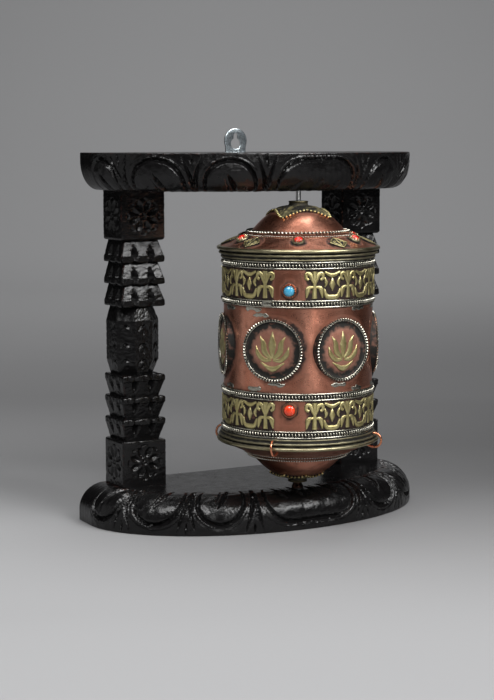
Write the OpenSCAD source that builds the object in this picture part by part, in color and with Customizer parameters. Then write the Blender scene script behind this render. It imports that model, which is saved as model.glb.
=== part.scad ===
// Prayer wheel in a carved D-shaped frame.
// Millimetres, +Z up, the flat back of the frame faces +Y.
// The origin is on the spindle's axis, in the plane that the base stands on.

/* [Frame] */
// Width of the base board
base_w = 270; // [200:1:360]
// How much narrower the top board is than the base
top_trim = 7.4; // [0:0.2:30]
// Thickness of each board
board_t = 27.4; // [18:0.2:40]
// Depth of the boards' curved front part
front_depth = 87.8; // [60:0.2:130]
// Depth of the straight part behind the curve
straight_depth = 23.6; // [5:0.2:60]
// How far the back corners draw in
back_taper = 1.1; // [0:0.1:6]
// From the spindle's axis to the flat back
axis_to_back = 92.7; // [80:0.1:130]
// Clear height between the boards
gap_h = 218; // [200:1:320]
// How far the base board's rounded top edge comes in
base_round = 20.6; // [6:0.2:30]
// Upright part of the base board's edge
base_lip = 8.8; // [2:0.2:16]
// How far the top board's rounded lower edge comes in
top_round = 14.4; // [6:0.2:30]
// Upright part of the top board's edge
top_lip = 5.8; // [2:0.2:16]

/* [Posts] */
// Width of a post
post_w = 35.6; // [24:0.2:50]
// Depth of a post
post_d = 31.2; // [20:0.2:50]
// Clear width between the posts
post_gap = 153.6; // [140:0.2:220]
// Height of a post's top block
top_block_h = 36.4; // [20:0.5:50]
// Height of a post's bottom block
foot_block_h = 34; // [20:0.5:50]
// Height of one carved tier
tier_h = 16.2; // [8:0.1:20]
// Upright lip of a tier
tier_lip = 4.6; // [2:0.1:7]
// How far a tier draws in at its waist
tier_waist = 3.8; // [1:0.1:7]
// Chamfer of the eight-sided barrel's two front corners
barrel_chamfer = 10.4; // [4:0.2:12]
// Chamfer of its two back corners, beside the flat back
barrel_back = 3; // [1:0.2:8]

/* [Spindle] */
// Diameter of the fixed spindle
spindle_d = 3.6; // [3:0.1:8]
// How deep the spindle goes into each board
spindle_depth = 14; // [8:0.5:17]
// Outer diameter of the bushes round the spindle
bush_d = 9; // [7:0.1:14]
// Height of the foot bead that carries the drum
foot_bead_h = 4.9; // [2:0.1:8]
// Diameter of the foot bead
foot_bead_d = 8.4; // [7:0.1:12]

/* [Drum] */
// Outer diameter of the drum's copper wall
drum_d = 108.2; // [90:0.2:120]
// Height of the drum's straight wall
wall_h = 139.6; // [100:0.2:160]
// Thickness of the sheet copper
sheet_t = 0.8; // [0.5:0.1:1.4]
// Height of the lid from the wall's end to the top of its dome
lid_h = 29.6; // [22:0.2:40]
// Radius at which the lid's cone meets the dome
dome_r = 34.4; // [26:0.2:38]
// Height of the dome
dome_h = 18.6; // [10:0.2:22]
// How far the rolled rim stands out from the wall
rim_out = 5.1; // [3:0.1:7]
// Height of the rolled rim
rim_h = 8; // [7:0.1:11]
// Diameter of the collars
collar_d = 14.4; // [12:0.1:20]
// Height of the collars
collar_h = 3.4; // [2:0.1:6]
// Reach of the upper crown's petals from the axis
crown_r = 24.6; // [14:0.2:30]
// Reach of the notches between the upper crown's petals
crown_notch_r = 15.6; // [10:0.2:22]
// Number of petals of the upper crown
crown_petals = 4; // [3:1:8]
// Reach of the lower crown's petals from the axis
foot_crown_r = 20.4; // [14:0.2:30]
// Reach of the notches between the lower crown's petals
foot_notch_r = 17.6; // [10:0.2:22]
// Number of petals of the lower crown
foot_petals = 8; // [3:1:12]
// Number of stones round the lid
lid_count = 6; // [4:1:8]

/* [Ornament] */
// Height of a motif band
band_h = 21.1; // [12:0.2:24]
// Thickness of the brass appliqué on a band
band_t = 0.8; // [0.4:0.1:1.2]
// Height of a beaded wire, with its two plain edge wires
bead_h = 5.6; // [3:0.1:7]
// How far the beads stand out from the wall
bead_out = 2; // [1:0.1:3]
// Diameter of a round medallion
medal_d = 45; // [30:0.5:50]
// How far a medallion's rim stands in front of the wall
medal_out = 1.6; // [1.2:0.1:5]
// How far a band's stones sit from its middle, towards the wall's middle
stone_in = 4.2; // [0:0.1:5]
// Diameter of a band stone
band_stone_d = 8.2; // [5:0.1:10]
// Number of stones round each band
band_stones = 3; // [2:1:6]
// Diameter of a lid stone
lid_stone_d = 7; // [4:0.1:9]
// Diameter of the wire hooks on the lower rim
hook_wire_d = 1.8; // [1:0.1:2.6]

/* [Hanger] */
// Width of the keyhole plate's round head
plate_w = 19.2; // [14:0.2:26]
// Thickness of the plate
plate_t = 1.6; // [1:0.1:3]
// How far the plate stands above the top board
plate_up = 17.8; // [15:0.2:26]
// Length of the plate that is screwed to the board
plate_down = 20; // [14:0.5:24]
// Diameter of the keyhole's round hole
keyhole_d = 8.4; // [6:0.1:10]
// Width of the keyhole's slot
slot_w = 3.6; // [2.5:0.1:5]

/* [Hidden] */
$fn = 96;

// Clearances
seat_gap = 0.05;
run_gap = 0.06;
float_gap = 0.25;

// Frame
back_y = axis_to_back;
curve_y = back_y - straight_depth;
top_z = board_t + gap_h;
frame_h = top_z + board_t;
post_x = (post_gap + post_w) / 2;
post_y = back_y - post_d / 2;
front_arc = 48;
edge_steps = 7;
slice = 0.01;
barrel_h = gap_h - top_block_h - foot_block_h - 6 * tier_h;

// Screws: [head radius, shank radius, length]
wood_screw = [4.4, 2.2, board_t + 26];
plate_screw = [3.4, 1.6, 16];
screw_sink = 0.4;
plate_screw_z = [frame_h - 6, frame_h - plate_down + 5.5];

// Drum: heights are counted from the middle of the wall
mid_z = board_t + foot_bead_h + float_gap + collar_h + lid_h + wall_h / 2;
drum_r = drum_d / 2;
half_h = wall_h / 2;
inner_r = drum_r - sheet_t;
rim_r = drum_r + rim_out;
skirt_h = 6;
flange_r = drum_r + rim_out - 2.2;
flange_z = half_h + sheet_t;
dome_z = half_h + lid_h - dome_h;
dome_top_z = half_h + lid_h;
dome_power = 2.35;
neck_r = collar_d / 2;
rope_r = 1.7;
rope_ring_r = dome_r + rope_r + 0.2;
cone_angle = atan((dome_z - flange_z) / (flange_r - dome_r));
crown_t = 0.7;
spindle_r = spindle_d / 2;
bore_r = spindle_r + run_gap;
bush_r = bush_d / 2;
bush_l = 10;
bush_top = dome_top_z;
core_r = bush_r;
roll_r = 36;
roll_h = 2 * (half_h - 12);
tie_w = 6;
tie_t = 0.6;

// Bands and beads, counted from the middle of the wall
rim_low = flange_z - rim_h;
bead_1 = rim_low - bead_h / 2 - 0.1;
band_z = bead_1 - bead_h / 2 - band_h / 2 - 0.1;
bead_2 = band_z - band_h / 2 - bead_h / 2 - 0.1;
band_r = drum_r + seat_gap + band_t;
stone_z = band_z - stone_in;

// Angles round the axis, in degrees from +X
blue_start = -127.5;
coral_start = -127;
lid_start = -121;
leaf_angles = [-163, -86, -35, 27, 87, 151];
crown_start = -148;
hook_start = -138;
hook_count = 4;

stone_r = band_stone_d / 2;
bezel_w = 1.5;
lid_stone_r = lid_stone_d / 2;
lid_bezel_w = 1.2;
ornament_r = (flange_r + dome_r) / 2;
leaf_l = min(14, flange_r - rope_ring_r - rope_r - 2.5);
leaf_t = 0.6;
leaf_r = flange_r - leaf_l / 2 - 1;
medal_r = medal_d / 2;
medal_start = -143;
medal_apart = 1;
medal_strays = [3, -3, -1, 0, 1, 2];
medal_pitch = 360 / len(medal_strays);
medal_room = medal_pitch - 2 * asin(min(1, medal_r / drum_r)) - medal_apart;
stray_share = max(0, min(1, medal_room / (max(medal_strays) - min(medal_strays))));
medal_angles = [for (i = [0 : len(medal_strays) - 1]) medal_start + medal_pitch * i + stray_share * medal_strays[i]];
medal_wall = 1.6;
medal_seat = drum_r - sqrt(pow(drum_r, 2) - pow(medal_r, 2)) + 0.8;
medal_floor = 1;
petal_l = 17;
petal_w = 6.4;
petal_lean = 50;
flower_r = 10.4;
flower_t = 0.7;
medal_face = drum_r + medal_out;
wire_r = hook_wire_d / 2;
hook_r = 5.4;

// D-shaped outline of a board: a half ellipse in front, straight sides and a flat back
module d_outline(w, inset) {
  half = w / 2 - inset;
  front = front_depth - inset;
  polygon(concat(
    [for (i = [0 : front_arc]) let(a = 180 + 180 * i / front_arc) [half * cos(a), curve_y + front * sin(a)]],
    [[half - back_taper, back_y], [-half + back_taper, back_y]]
  ));
}

// A board whose upper edge is a quarter round that comes in by round_in above an upright lip
module rounded_board(w, round_in, lip) {
  hull() {
    linear_extrude(lip) d_outline(w, 0);
    for (k = [1 : edge_steps])
      translate([0, 0, lip + (board_t - lip) * sin(90 * k / edge_steps) - slice])
        linear_extrude(slice) d_outline(w, round_in * (1 - cos(90 * k / edge_steps)));
  }
}

// Countersunk wood screw with its head at z = 0, pointing up; gap widens it into its own hole
module countersunk_screw(s, gap = 0) {
  rotate_extrude()
    polygon([[0, 0], [s[0] + gap, 0], [s[0] + gap, 0.8], [s[1] + gap, 0.8 + s[0] - s[1]],
      [s[1] + gap, s[2] - 4], [gap, s[2] + gap], [0, s[2] + gap]]);
}

// Hole for a countersunk screw, open below its head
module screw_hole(s) {
  countersunk_screw(s, seat_gap);
  translate([0, 0, -5]) cylinder(r = s[0] + seat_gap, h = 5.1);
}

// Places its children at the two posts
module at_posts() {
  for (side = [-1, 1]) translate([side * post_x, post_y, 0]) children();
}

// Screws that come up through the base into the posts
module base_screw_places() {
  at_posts() translate([0, 0, screw_sink]) children();
}

// Screws that come down through the top board into the posts
module top_screw_places() {
  at_posts() translate([0, 0, frame_h - screw_sink]) rotate([180, 0, 0]) children();
}

// The two small screws of the keyhole plate, pointing into the board from behind
module plate_screw_places() {
  for (z = plate_screw_z) translate([0, back_y + plate_t, z]) rotate([90, 0, 0]) children();
}

module base_board() {
  color("#1c1a19") difference() {
    rounded_board(base_w, base_round, base_lip);
    base_screw_places() screw_hole(wood_screw);
    translate([0, 0, board_t - spindle_depth]) cylinder(r = bush_r + seat_gap, h = board_t);
  }
}

module top_board() {
  color("#1c1a19") difference() {
    translate([0, 0, frame_h]) mirror([0, 0, 1])
      rounded_board(base_w - top_trim, top_round, top_lip);
    top_screw_places() screw_hole(wood_screw);
    plate_screw_places() screw_hole(plate_screw);
    translate([0, 0, top_z - 1]) cylinder(r = bush_r + seat_gap, h = spindle_depth + 1);
  }
}

// Four-sided taper from a post's full section, drawn in by inset at the front and sides; the back is flat
module taper(inset, h) {
  half = post_w / 2;
  depth = post_d / 2;
  corners = [for (c = [[-half, -depth], [half, -depth], [half, depth], [-half, depth]]) [c[0], c[1], 0]];
  drawn = [for (c = corners) [c[0] - sign(c[0]) * inset, c[1] < 0 ? c[1] + inset : c[1], h]];
  polyhedron(points = concat(corners, drawn),
    faces = [[0, 1, 2, 3], [7, 6, 5, 4], [4, 5, 1, 0], [5, 6, 2, 1], [6, 7, 3, 2], [7, 4, 0, 3]]);
}

// Centred block that stands on z = 0
module block(w, d, h) {
  translate([-w / 2, -d / 2, 0]) cube([w, d, h]);
}

// One carved tier: a lip at the bottom, drawing in to a waist at the top
module tier() {
  block(post_w, post_d, tier_lip);
  translate([0, 0, tier_lip]) taper(tier_waist, tier_h - tier_lip);
}

// Eight-sided outline with a flat back, drawn in by inset at the front and sides
module octagon(inset) {
  side = post_w / 2 - inset;
  front = inset - post_d / 2;
  back = post_d / 2;
  polygon([[barrel_chamfer - side, front], [side - barrel_chamfer, front], [side, front + barrel_chamfer],
    [side, back - barrel_back], [side - barrel_back, back], [barrel_back - side, back],
    [-side, back - barrel_back], [-side, front + barrel_chamfer]]);
}

// Eight-sided barrel that draws in at both ends
module barrel() {
  ease = barrel_h / 5;
  hull() for (s = [[0, tier_waist], [ease, 0.6], [barrel_h - ease, 0.6], [barrel_h, tier_waist]])
    translate([0, 0, min(s[0], barrel_h - slice)]) linear_extrude(slice) octagon(s[1]);
}

// A carved post standing on z = 0 at the origin
module post_body() {
  block(post_w, post_d, foot_block_h);
  for (i = [0 : 2]) translate([0, 0, foot_block_h + (i + 1) * tier_h]) mirror([0, 0, 1]) tier();
  translate([0, 0, foot_block_h + 3 * tier_h]) barrel();
  for (i = [0 : 2]) translate([0, 0, foot_block_h + 3 * tier_h + barrel_h + i * tier_h]) tier();
  translate([0, 0, gap_h - top_block_h]) block(post_w, post_d, top_block_h);
}

module post(side) {
  color("#1c1a19") difference() {
    translate([side * post_x, post_y, board_t]) post_body();
    base_screw_places() screw_hole(wood_screw);
    top_screw_places() screw_hole(wood_screw);
  }
}

module left_post() { post(-1); }

module right_post() { post(1); }

module base_screws() {
  color("#8a8d90") base_screw_places() countersunk_screw(wood_screw);
}

module top_screws() {
  color("#8a8d90") top_screw_places() countersunk_screw(wood_screw);
}

// Outline of the keyhole plate, seen from behind, with z = 0 at the board's top
module plate_outline() {
  head_z = plate_up - plate_w / 2;
  difference() {
    union() {
      translate([0, head_z]) circle(d = plate_w);
      translate([-plate_w / 2 + 1, -plate_down]) square([plate_w - 2, plate_down + head_z]);
    }
    translate([0, keyhole_z]) circle(d = keyhole_d);
    translate([0, slot_z]) circle(d = slot_w);
    translate([-slot_w / 2, keyhole_z]) square([slot_w, slot_z - keyhole_z]);
  }
}

// Height of the round hole and of the slot's end above the board's top
keyhole_z = keyhole_d / 2 + 2;
slot_z = plate_up - 3.6 - slot_w / 2;

module hanger_plate() {
  color("#c3ced3") difference() {
    translate([0, back_y, frame_h]) rotate([90, 0, 0]) mirror([0, 0, 1])
      linear_extrude(plate_t) plate_outline();
    plate_screw_places() screw_hole(plate_screw);
  }
}

module hanger_screws() {
  color("#c3ced3") plate_screw_places() countersunk_screw(plate_screw);
}

module spindle() {
  color("#c0c0be") translate([0, 0, board_t - spindle_depth])
    cylinder(r = spindle_r, h = gap_h + 2 * spindle_depth);
}

// Metal sleeve in a board that grips the spindle's end
module socket() {
  difference() {
    cylinder(r = bush_r, h = spindle_depth);
    translate([0, 0, -1]) cylinder(r = spindle_r + seat_gap, h = spindle_depth + 2);
  }
}

module lower_socket() {
  color("#6b4a34") translate([0, 0, board_t - spindle_depth]) socket();
}

module upper_socket() {
  color("#6b4a34") translate([0, 0, top_z]) socket();
}

// Bead on the base that the drum's lower collar turns on
module foot_bead() {
  color("#5a2e22") translate([0, 0, board_t]) difference() {
    rotate_extrude() polygon([[0, 0], [foot_bead_d / 2, 0], [foot_bead_d / 2, foot_bead_h * 0.4],
      [foot_bead_d / 2 - 1.2, foot_bead_h], [0, foot_bead_h]]);
    translate([0, 0, -1]) cylinder(r = spindle_r + seat_gap, h = foot_bead_h + 2);
  }
}

// Places its children at the middle of the drum's wall
module at_drum() { translate([0, 0, mid_z]) children(); }

// The same, turned over, for what repeats below
module at_drum_below() { translate([0, 0, mid_z]) mirror([0, 0, 1]) children(); }

// Tube with its foot at z = 0
module tube(outer, inner, h) {
  difference() {
    cylinder(r = outer, h = h);
    translate([0, 0, -1]) cylinder(r = inner, h = h + 2);
  }
}

module drum_shell() {
  color("#a2644c") at_drum() translate([0, 0, -half_h]) tube(drum_r, inner_r, wall_h);
}

// Height of the dome at radius r
function dome_height(r) =
  dome_z + dome_h * (pow(dome_r, dome_power) - pow(r, dome_power))
    / (pow(dome_r, dome_power) - pow(neck_r, dome_power));

// Radii at which the dome's curve is drawn
dome_steps = [for (i = [0 : 12]) neck_r + (dome_r - neck_r) * i / 12];

// Lid: skirt inside the wall, flange on its end, cone, dome, and a socket for the bush
module lid() {
  bush_seat = bush_r + seat_gap;
  rotate_extrude() polygon(concat(
    [[bush_seat, dome_top_z], [neck_r, dome_top_z]],
    [for (i = [1 : 12]) [dome_steps[i], dome_height(dome_steps[i])]],
    [[flange_r, flange_z], [flange_r, half_h + 0.01], [inner_r - seat_gap, half_h + 0.01],
     [inner_r - seat_gap, half_h - skirt_h], [inner_r - seat_gap - sheet_t, half_h - skirt_h],
     [inner_r - seat_gap - sheet_t, half_h]],
    [for (i = [12 : -1 : 1]) [dome_steps[i] - sheet_t * 0.4, dome_height(dome_steps[i]) - sheet_t]],
    [[bush_seat, dome_top_z - sheet_t]]
  ));
}

module top_lid() {
  color("#a2644c") at_drum() lid();
}

module bottom_pan() {
  color("#a2644c") at_drum_below() lid();
}

// Crown: a thin cap over the dome, cut to pointed petals
module crown(reach, notch, petals, start) {
  radii = [for (i = [0 : 8]) neck_r + seat_gap + (reach - neck_r) * i / 8];
  intersection() {
    rotate_extrude() polygon(concat(
      [for (r = radii) [r, dome_height(r) + seat_gap]],
      [for (i = [8 : -1 : 0]) [radii[i], dome_height(radii[i]) + seat_gap + crown_t]]
    ));
    linear_extrude(2 * dome_top_z) polygon([for (i = [0 : 2 * petals - 1])
      let(a = start + 180 / petals * i, r = i % 2 == 0 ? reach : notch)
      [r * cos(a), r * sin(a)]]);
  }
}

module top_crown() {
  color("#8a7a42") at_drum() crown(crown_r, crown_notch_r, crown_petals, crown_start);
}

module bottom_crown() {
  color("#8a7a42") at_drum_below() crown(foot_crown_r, foot_notch_r, foot_petals, crown_start);
}

// Collar: a short open cup on the dome that the spindle passes through
module collar() {
  wall = 1.4;
  difference() {
    translate([0, 0, dome_top_z + seat_gap]) cylinder(r = neck_r, h = collar_h - seat_gap);
    translate([0, 0, dome_top_z + 1.2]) cylinder(r = neck_r - wall, h = collar_h);
    translate([0, 0, dome_top_z - 1]) cylinder(r = bore_r + 0.3, h = collar_h + 2);
  }
}

// The lower collar is solid, because it bears on the foot bead
module bearing_collar() {
  difference() {
    translate([0, 0, dome_top_z + seat_gap]) cylinder(r = neck_r, h = collar_h - seat_gap);
    translate([0, 0, dome_top_z - 1]) cylinder(r = bore_r + 0.3, h = collar_h + 2);
  }
}

module top_collar() {
  color("#57492a") at_drum() collar();
}

module bottom_collar() {
  color("#57492a") at_drum_below() bearing_collar();
}

// Ring of twisted wire where the cone meets the dome
module rope_ring() {
  rotate_extrude() translate([rope_ring_r, rope_ring_z]) circle(r = rope_r, $fn = 24);
}

// Just high enough to rest on the cone
rope_ring_z = dome_z - (rope_ring_r - dome_r) * tan(cone_angle) + (rope_r + seat_gap) / cos(cone_angle);

module lid_rope_ring() {
  color("#a9a79c") at_drum() rope_ring();
}

module pan_rope_ring() {
  color("#a9a79c") at_drum_below() rope_ring();
}

// Rolled rim: a lip, a wide roll and a thin roll round the wall's end
module rim() {
  start = drum_r + seat_gap;
  rotate_extrude() difference() {
    union() {
      translate([start, rim_low]) square([1.6, flange_z - rim_low]);
      translate([rim_r - 2, flange_z - 1]) circle(r = 2, $fn = 24);
      translate([rim_r - 3.1, flange_z - 4.1]) circle(r = 1.8, $fn = 24);
      translate([start + 0.6, rim_low + 1]) circle(r = 1, $fn = 24);
      translate([start, flange_z - 2]) square([rim_r - 2 - start, 2]);
    }
    square([start, 2 * half_h]);
    translate([0, half_h - seat_gap]) square([flange_r + seat_gap, 10]);
  }
}

module upper_rim() {
  color("#8c8458") at_drum() rim();
}

module lower_rim() {
  color("#8c8458") at_drum_below() rim();
}

// Beaded wire between two plain wires, centred at height z on the wall
module bead_wire(z) {
  start = drum_r + seat_gap;
  bead = bead_h * 0.27;
  edge = bead_h * 0.2;
  rotate_extrude() difference() {
    union() {
      translate([start, z - bead_h / 2]) square([0.6, bead_h]);
      translate([start + bead_out - bead, z]) circle(r = bead, $fn = 24);
      for (s = [-1, 1]) translate([start + edge * 0.5, z + s * (bead_h / 2 - edge)])
        circle(r = edge, $fn = 20);
    }
    translate([0, z - bead_h]) square([start, 2 * bead_h]);
  }
}

module bead_wire_1() { color("#a9a79c") at_drum() bead_wire(bead_1); }

module bead_wire_2() { color("#a9a79c") at_drum() bead_wire(bead_2); }

module bead_wire_3() { color("#a9a79c") at_drum_below() bead_wire(bead_2); }

module bead_wire_4() { color("#a9a79c") at_drum_below() bead_wire(bead_1); }

// Places its children on the wall at an angle and height, with their z axis pointing outwards
module on_wall(angle, z, r = 0) {
  rotate([0, 0, angle]) translate([r, 0, z]) rotate([0, 90, 0]) children();
}

// Room in a band for its stones
module stone_room(start, z) {
  for (i = [0 : band_stones - 1])
    on_wall(start + 360 / band_stones * i, z) cylinder(r = stone_r + bezel_w + seat_gap, h = 2 * drum_r);
}

// Band of appliqué: a thin brass strip round the wall, open at the stones
module band(start, z) {
  difference() {
    translate([0, 0, -band_h / 2]) tube(band_r, drum_r + seat_gap, band_h);
    stone_room(start, z);
  }
}

module upper_band() {
  color("#9a8a4a") at_drum() translate([0, 0, band_z]) band(blue_start, -stone_in);
}

module lower_band() {
  color("#9a8a4a") at_drum() translate([0, 0, -band_z]) band(coral_start, stone_in);
}

// Stones of one band, as domes that stand on the wall
module stones(start, z) {
  for (i = [0 : band_stones - 1]) difference() {
    on_wall(start + 360 / band_stones * i, z, drum_r + 0.4) sphere(r = stone_r, $fn = 40);
    wall_cut();
  }
}

module blue_stones() { color("#46a8c8") at_drum() stones(blue_start, stone_z); }

module coral_stones() { color("#d8452a") at_drum() stones(coral_start, -stone_z); }

// Collars of sheet metal that hold the band stones
module bezels(start, z) {
  for (i = [0 : band_stones - 1]) difference() {
    on_wall(start + 360 / band_stones * i, z, drum_r - 3) tube(stone_r + bezel_w, stone_r + seat_gap, 5.2);
    wall_cut();
  }
}

module stone_bezels() {
  color("#8c5a3c") at_drum() {
    bezels(blue_start, stone_z);
    bezels(coral_start, -stone_z);
  }
}

// Places its children on the lid's cone, z axis along the cone's normal, x axis downhill
module on_cone(angle, r) {
  z = flange_z + (flange_r - r) * tan(cone_angle);
  rotate([0, 0, angle]) translate([r, 0, z]) rotate([0, cone_angle, 0]) children();
}

module lid_stones() {
  color("#d8281e") at_drum() for (i = [0 : lid_count - 1])
    on_cone(lid_start + 360 / lid_count * i, ornament_r) intersection() {
      translate([0, 0, 0.6]) sphere(r = lid_stone_r, $fn = 36);
      translate([0, 0, seat_gap]) cylinder(r = lid_stone_r + 1, h = 10);
    }
}

module lid_bezels() {
  color("#8c8458") at_drum() for (i = [0 : lid_count - 1])
    on_cone(lid_start + 360 / lid_count * i, ornament_r) translate([0, 0, seat_gap])
      tube(lid_stone_r + lid_bezel_w, lid_stone_r + seat_gap, 1.8);
}

// Leaf-shaped brass ornament lying on the cone
module lid_leaves() {
  color("#8a7a42") at_drum() for (a = leaf_angles)
    on_cone(a, leaf_r) translate([0, 0, seat_gap]) linear_extrude(leaf_t)
      polygon([[-leaf_l / 2, 0], [0, -leaf_l / 2], [leaf_l / 2, 0], [0, leaf_l / 2]]);
}

// Room taken by the wall, so that a medallion ends on it
module wall_cut() {
  translate([0, 0, -half_h]) cylinder(r = drum_r + seat_gap, h = wall_h, $fn = 360);
}

// Shallow copper dish tangent to the wall
module medallion_cups() {
  color("#7a4632") at_drum() for (a = medal_angles) difference() {
    on_wall(a, 0, drum_r - medal_seat) cylinder(r = medal_r - medal_wall, h = medal_out + medal_seat - medal_floor);
    wall_cut();
  }
}

// Beaded wire ring round a medallion
module medallion_rings() {
  color("#a9a79c") at_drum() for (a = medal_angles) difference() {
    on_wall(a, 0, drum_r - medal_seat) tube(medal_r, medal_r - medal_wall + seat_gap, medal_out + medal_seat);
    wall_cut();
  }
}

// Pointed petal that stands on the origin
module petal() {
  r = (pow(petal_l, 2) + pow(petal_w, 2)) / (4 * petal_w);
  intersection_for (side = [-1, 1])
    translate([side * (r - petal_w / 2), petal_l / 2]) circle(r = r);
}

// Brass flower on a medallion: three petals that stand on a crescent
module medallion_motifs() {
  color("#a8964e") at_drum() for (a = medal_angles)
    on_wall(a, 0, medal_face - medal_floor + seat_gap) rotate([0, 0, 90]) linear_extrude(flower_t) {
      for (lean = [-petal_lean, 0, petal_lean])
        translate([0, -flower_r * 0.8]) rotate(lean) petal();
      difference() {
        circle(r = flower_r);
        translate([0, flower_r * 0.28]) circle(r = flower_r);
      }
    }
}

// Wire loop that hooks over the rolled rim and lies on the cone
module hook() {
  reach = rim_r - 1.2;
  cone_end = flange_r - (hook_r - 1 - wire_r - seat_gap) / tan(cone_angle);
  translate([reach, 0, flange_z - 1]) rotate([90, 0, 0]) {
    rotate([0, 0, -90]) rotate_extrude(angle = 180) translate([hook_r, 0]) circle(r = wire_r, $fn = 20);
    translate([0, -hook_r, 0]) rotate([0, -90, 0]) cylinder(r = wire_r, h = 0.3, $fn = 20);
    translate([0, hook_r, 0]) rotate([0, -90, 0]) cylinder(r = wire_r, h = reach - cone_end, $fn = 20);
  }
}

module rim_hooks() {
  color("#b8684a") at_drum_below() for (i = [0 : hook_count - 1])
    rotate([0, 0, hook_start + 360 / hook_count * i]) hook();
}

module core_tube() {
  color("#9a8a4a") at_drum() translate([0, 0, -(bush_top - bush_l - seat_gap)])
    tube(core_r, core_r - 1, 2 * (bush_top - bush_l - seat_gap));
}

// Bush in the end of the drum that runs on the spindle
module bush() {
  translate([0, 0, bush_top - bush_l]) tube(bush_r, bore_r, bush_l);
}

module upper_bush() { color("#9a8a4a") at_drum() bush(); }

module lower_bush() { color("#9a8a4a") at_drum_below() bush(); }

module prayer_roll() {
  color("#d8c8a0") at_drum() translate([0, 0, -roll_h / 2]) tube(roll_r, core_r + seat_gap, roll_h);
}

module roll_ties() {
  color("#e0dccc") at_drum() for (s = [-1, 1]) translate([0, 0, s * roll_h / 4 - tie_w / 2])
    tube(roll_r + seat_gap + tie_t, roll_r + seat_gap, tie_w);
}

base_board();
top_board();
left_post();
right_post();
base_screws();
top_screws();
hanger_plate();
hanger_screws();
spindle();
lower_socket();
upper_socket();
foot_bead();
drum_shell();
top_lid();
bottom_pan();
top_crown();
bottom_crown();
top_collar();
bottom_collar();
lid_rope_ring();
pan_rope_ring();
upper_rim();
lower_rim();
bead_wire_1();
bead_wire_2();
bead_wire_3();
bead_wire_4();
upper_band();
lower_band();
blue_stones();
coral_stones();
stone_bezels();
lid_stones();
lid_bezels();
lid_leaves();
medallion_cups();
medallion_rings();
medallion_motifs();
rim_hooks();
core_tube();
upper_bush();
lower_bush();
prayer_roll();
roll_ties();
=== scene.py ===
"""Copper prayer wheel in a carved black frame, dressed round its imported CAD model.

The classes hold their sizes in millimetres, as the CAD source does, and a mesh is scaled to metres when
it is made. The origin is on the spindle's axis, in the plane that the base stands on; +Z is up and the
frame's flat back faces +Y.
"""

import logging
import math
from dataclasses import dataclass, field, replace
from enum import Enum
from math import cos, pi, radians, sin
from typing import Callable, Iterable, Sequence

import bmesh
import bpy
import numpy as np
from mathutils import Matrix, Vector


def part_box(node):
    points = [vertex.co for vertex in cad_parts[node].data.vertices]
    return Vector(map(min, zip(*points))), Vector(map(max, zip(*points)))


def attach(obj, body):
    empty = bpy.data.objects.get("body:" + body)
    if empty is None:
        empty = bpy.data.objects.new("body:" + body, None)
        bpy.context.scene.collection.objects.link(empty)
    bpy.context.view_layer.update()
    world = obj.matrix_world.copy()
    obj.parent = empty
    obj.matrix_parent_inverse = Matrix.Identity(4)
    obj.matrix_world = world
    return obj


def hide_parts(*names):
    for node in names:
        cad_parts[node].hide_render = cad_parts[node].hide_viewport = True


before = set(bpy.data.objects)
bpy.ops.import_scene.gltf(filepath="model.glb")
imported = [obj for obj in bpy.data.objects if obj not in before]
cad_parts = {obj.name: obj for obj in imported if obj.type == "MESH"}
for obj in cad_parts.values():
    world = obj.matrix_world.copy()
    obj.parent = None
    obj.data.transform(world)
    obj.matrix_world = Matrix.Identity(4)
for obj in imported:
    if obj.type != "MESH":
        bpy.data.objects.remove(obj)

Array = np.ndarray
Thing = bpy.types.Object
Material = bpy.types.Material
Node = bpy.types.Node
Socket = bpy.types.NodeSocket
Placer = Callable[[Array, Array, Array], Array]
Triple = tuple[float, float, float]
Axes = tuple[Array, Array, Array]
Spot = tuple[Array, Axes]

MM = 0.001
EDGE_ANGLE = 38.0
CARVED_ANGLE = 34.0
WELD_DISTANCE = 1e-6
RING_STEPS = 256
LOG = logging.getLogger("prayer_wheel")


class Body(Enum):
    """The two bodies that pieces ride on."""

    FRAME = "frame"
    DRUM = "drum"


class End(Enum):
    """The two ends of the drum; the lower one is the upper one turned over."""

    UPPER = 1.0
    LOWER = -1.0

    def pick(self, upper: object, lower: object) -> object:
        """Returns the first value for the upper end and the second for the lower."""
        return upper if self is End.UPPER else lower


# ---------- paths and surfaces


def full_turn(steps: int) -> Array:
    """Returns evenly spaced angles once round, in radians."""
    return np.linspace(0, 2 * pi, steps, endpoint=False)


def polar(radius: float | Array, turn: Array, height: float | Array) -> Array:
    """Returns the points at radii, angles and heights that fit together as a grid."""
    x = radius * np.cos(turn)
    return np.stack([x, radius * np.sin(turn), height + 0 * x], -1)


def smooth_path(points: Sequence[Sequence[float]], count: int) -> Array:
    """Runs a smooth curve through control points.

    Args:
        points: Control points, two or more, of any dimension.
        count: Number of points wanted on the curve.

    Returns:
        The curve's points, evenly spread over the control points' own lengths.
    """
    p = np.asarray(points, float)
    if len(p) == 2:
        return p[0] + (p[1] - p[0]) * np.linspace(0, 1, count)[:, None]
    ext = np.vstack([2 * p[0] - p[1], p, 2 * p[-1] - p[-2]])
    length = np.r_[0, np.cumsum(np.linalg.norm(np.diff(p, axis=0), axis=1))]
    where = np.interp(np.linspace(0, length[-1], count), length, np.arange(len(p)))
    k = np.minimum(where.astype(int), len(p) - 2)
    t = (where - k)[:, None]
    a, b, c, d = ext[k], ext[k + 1], ext[k + 2], ext[k + 3]
    return 0.5 * (2 * b + (c - a) * t + (2 * a - 5 * b + 4 * c - d) * t**2 + (3 * b - a - 3 * c + d) * t**3)


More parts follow.
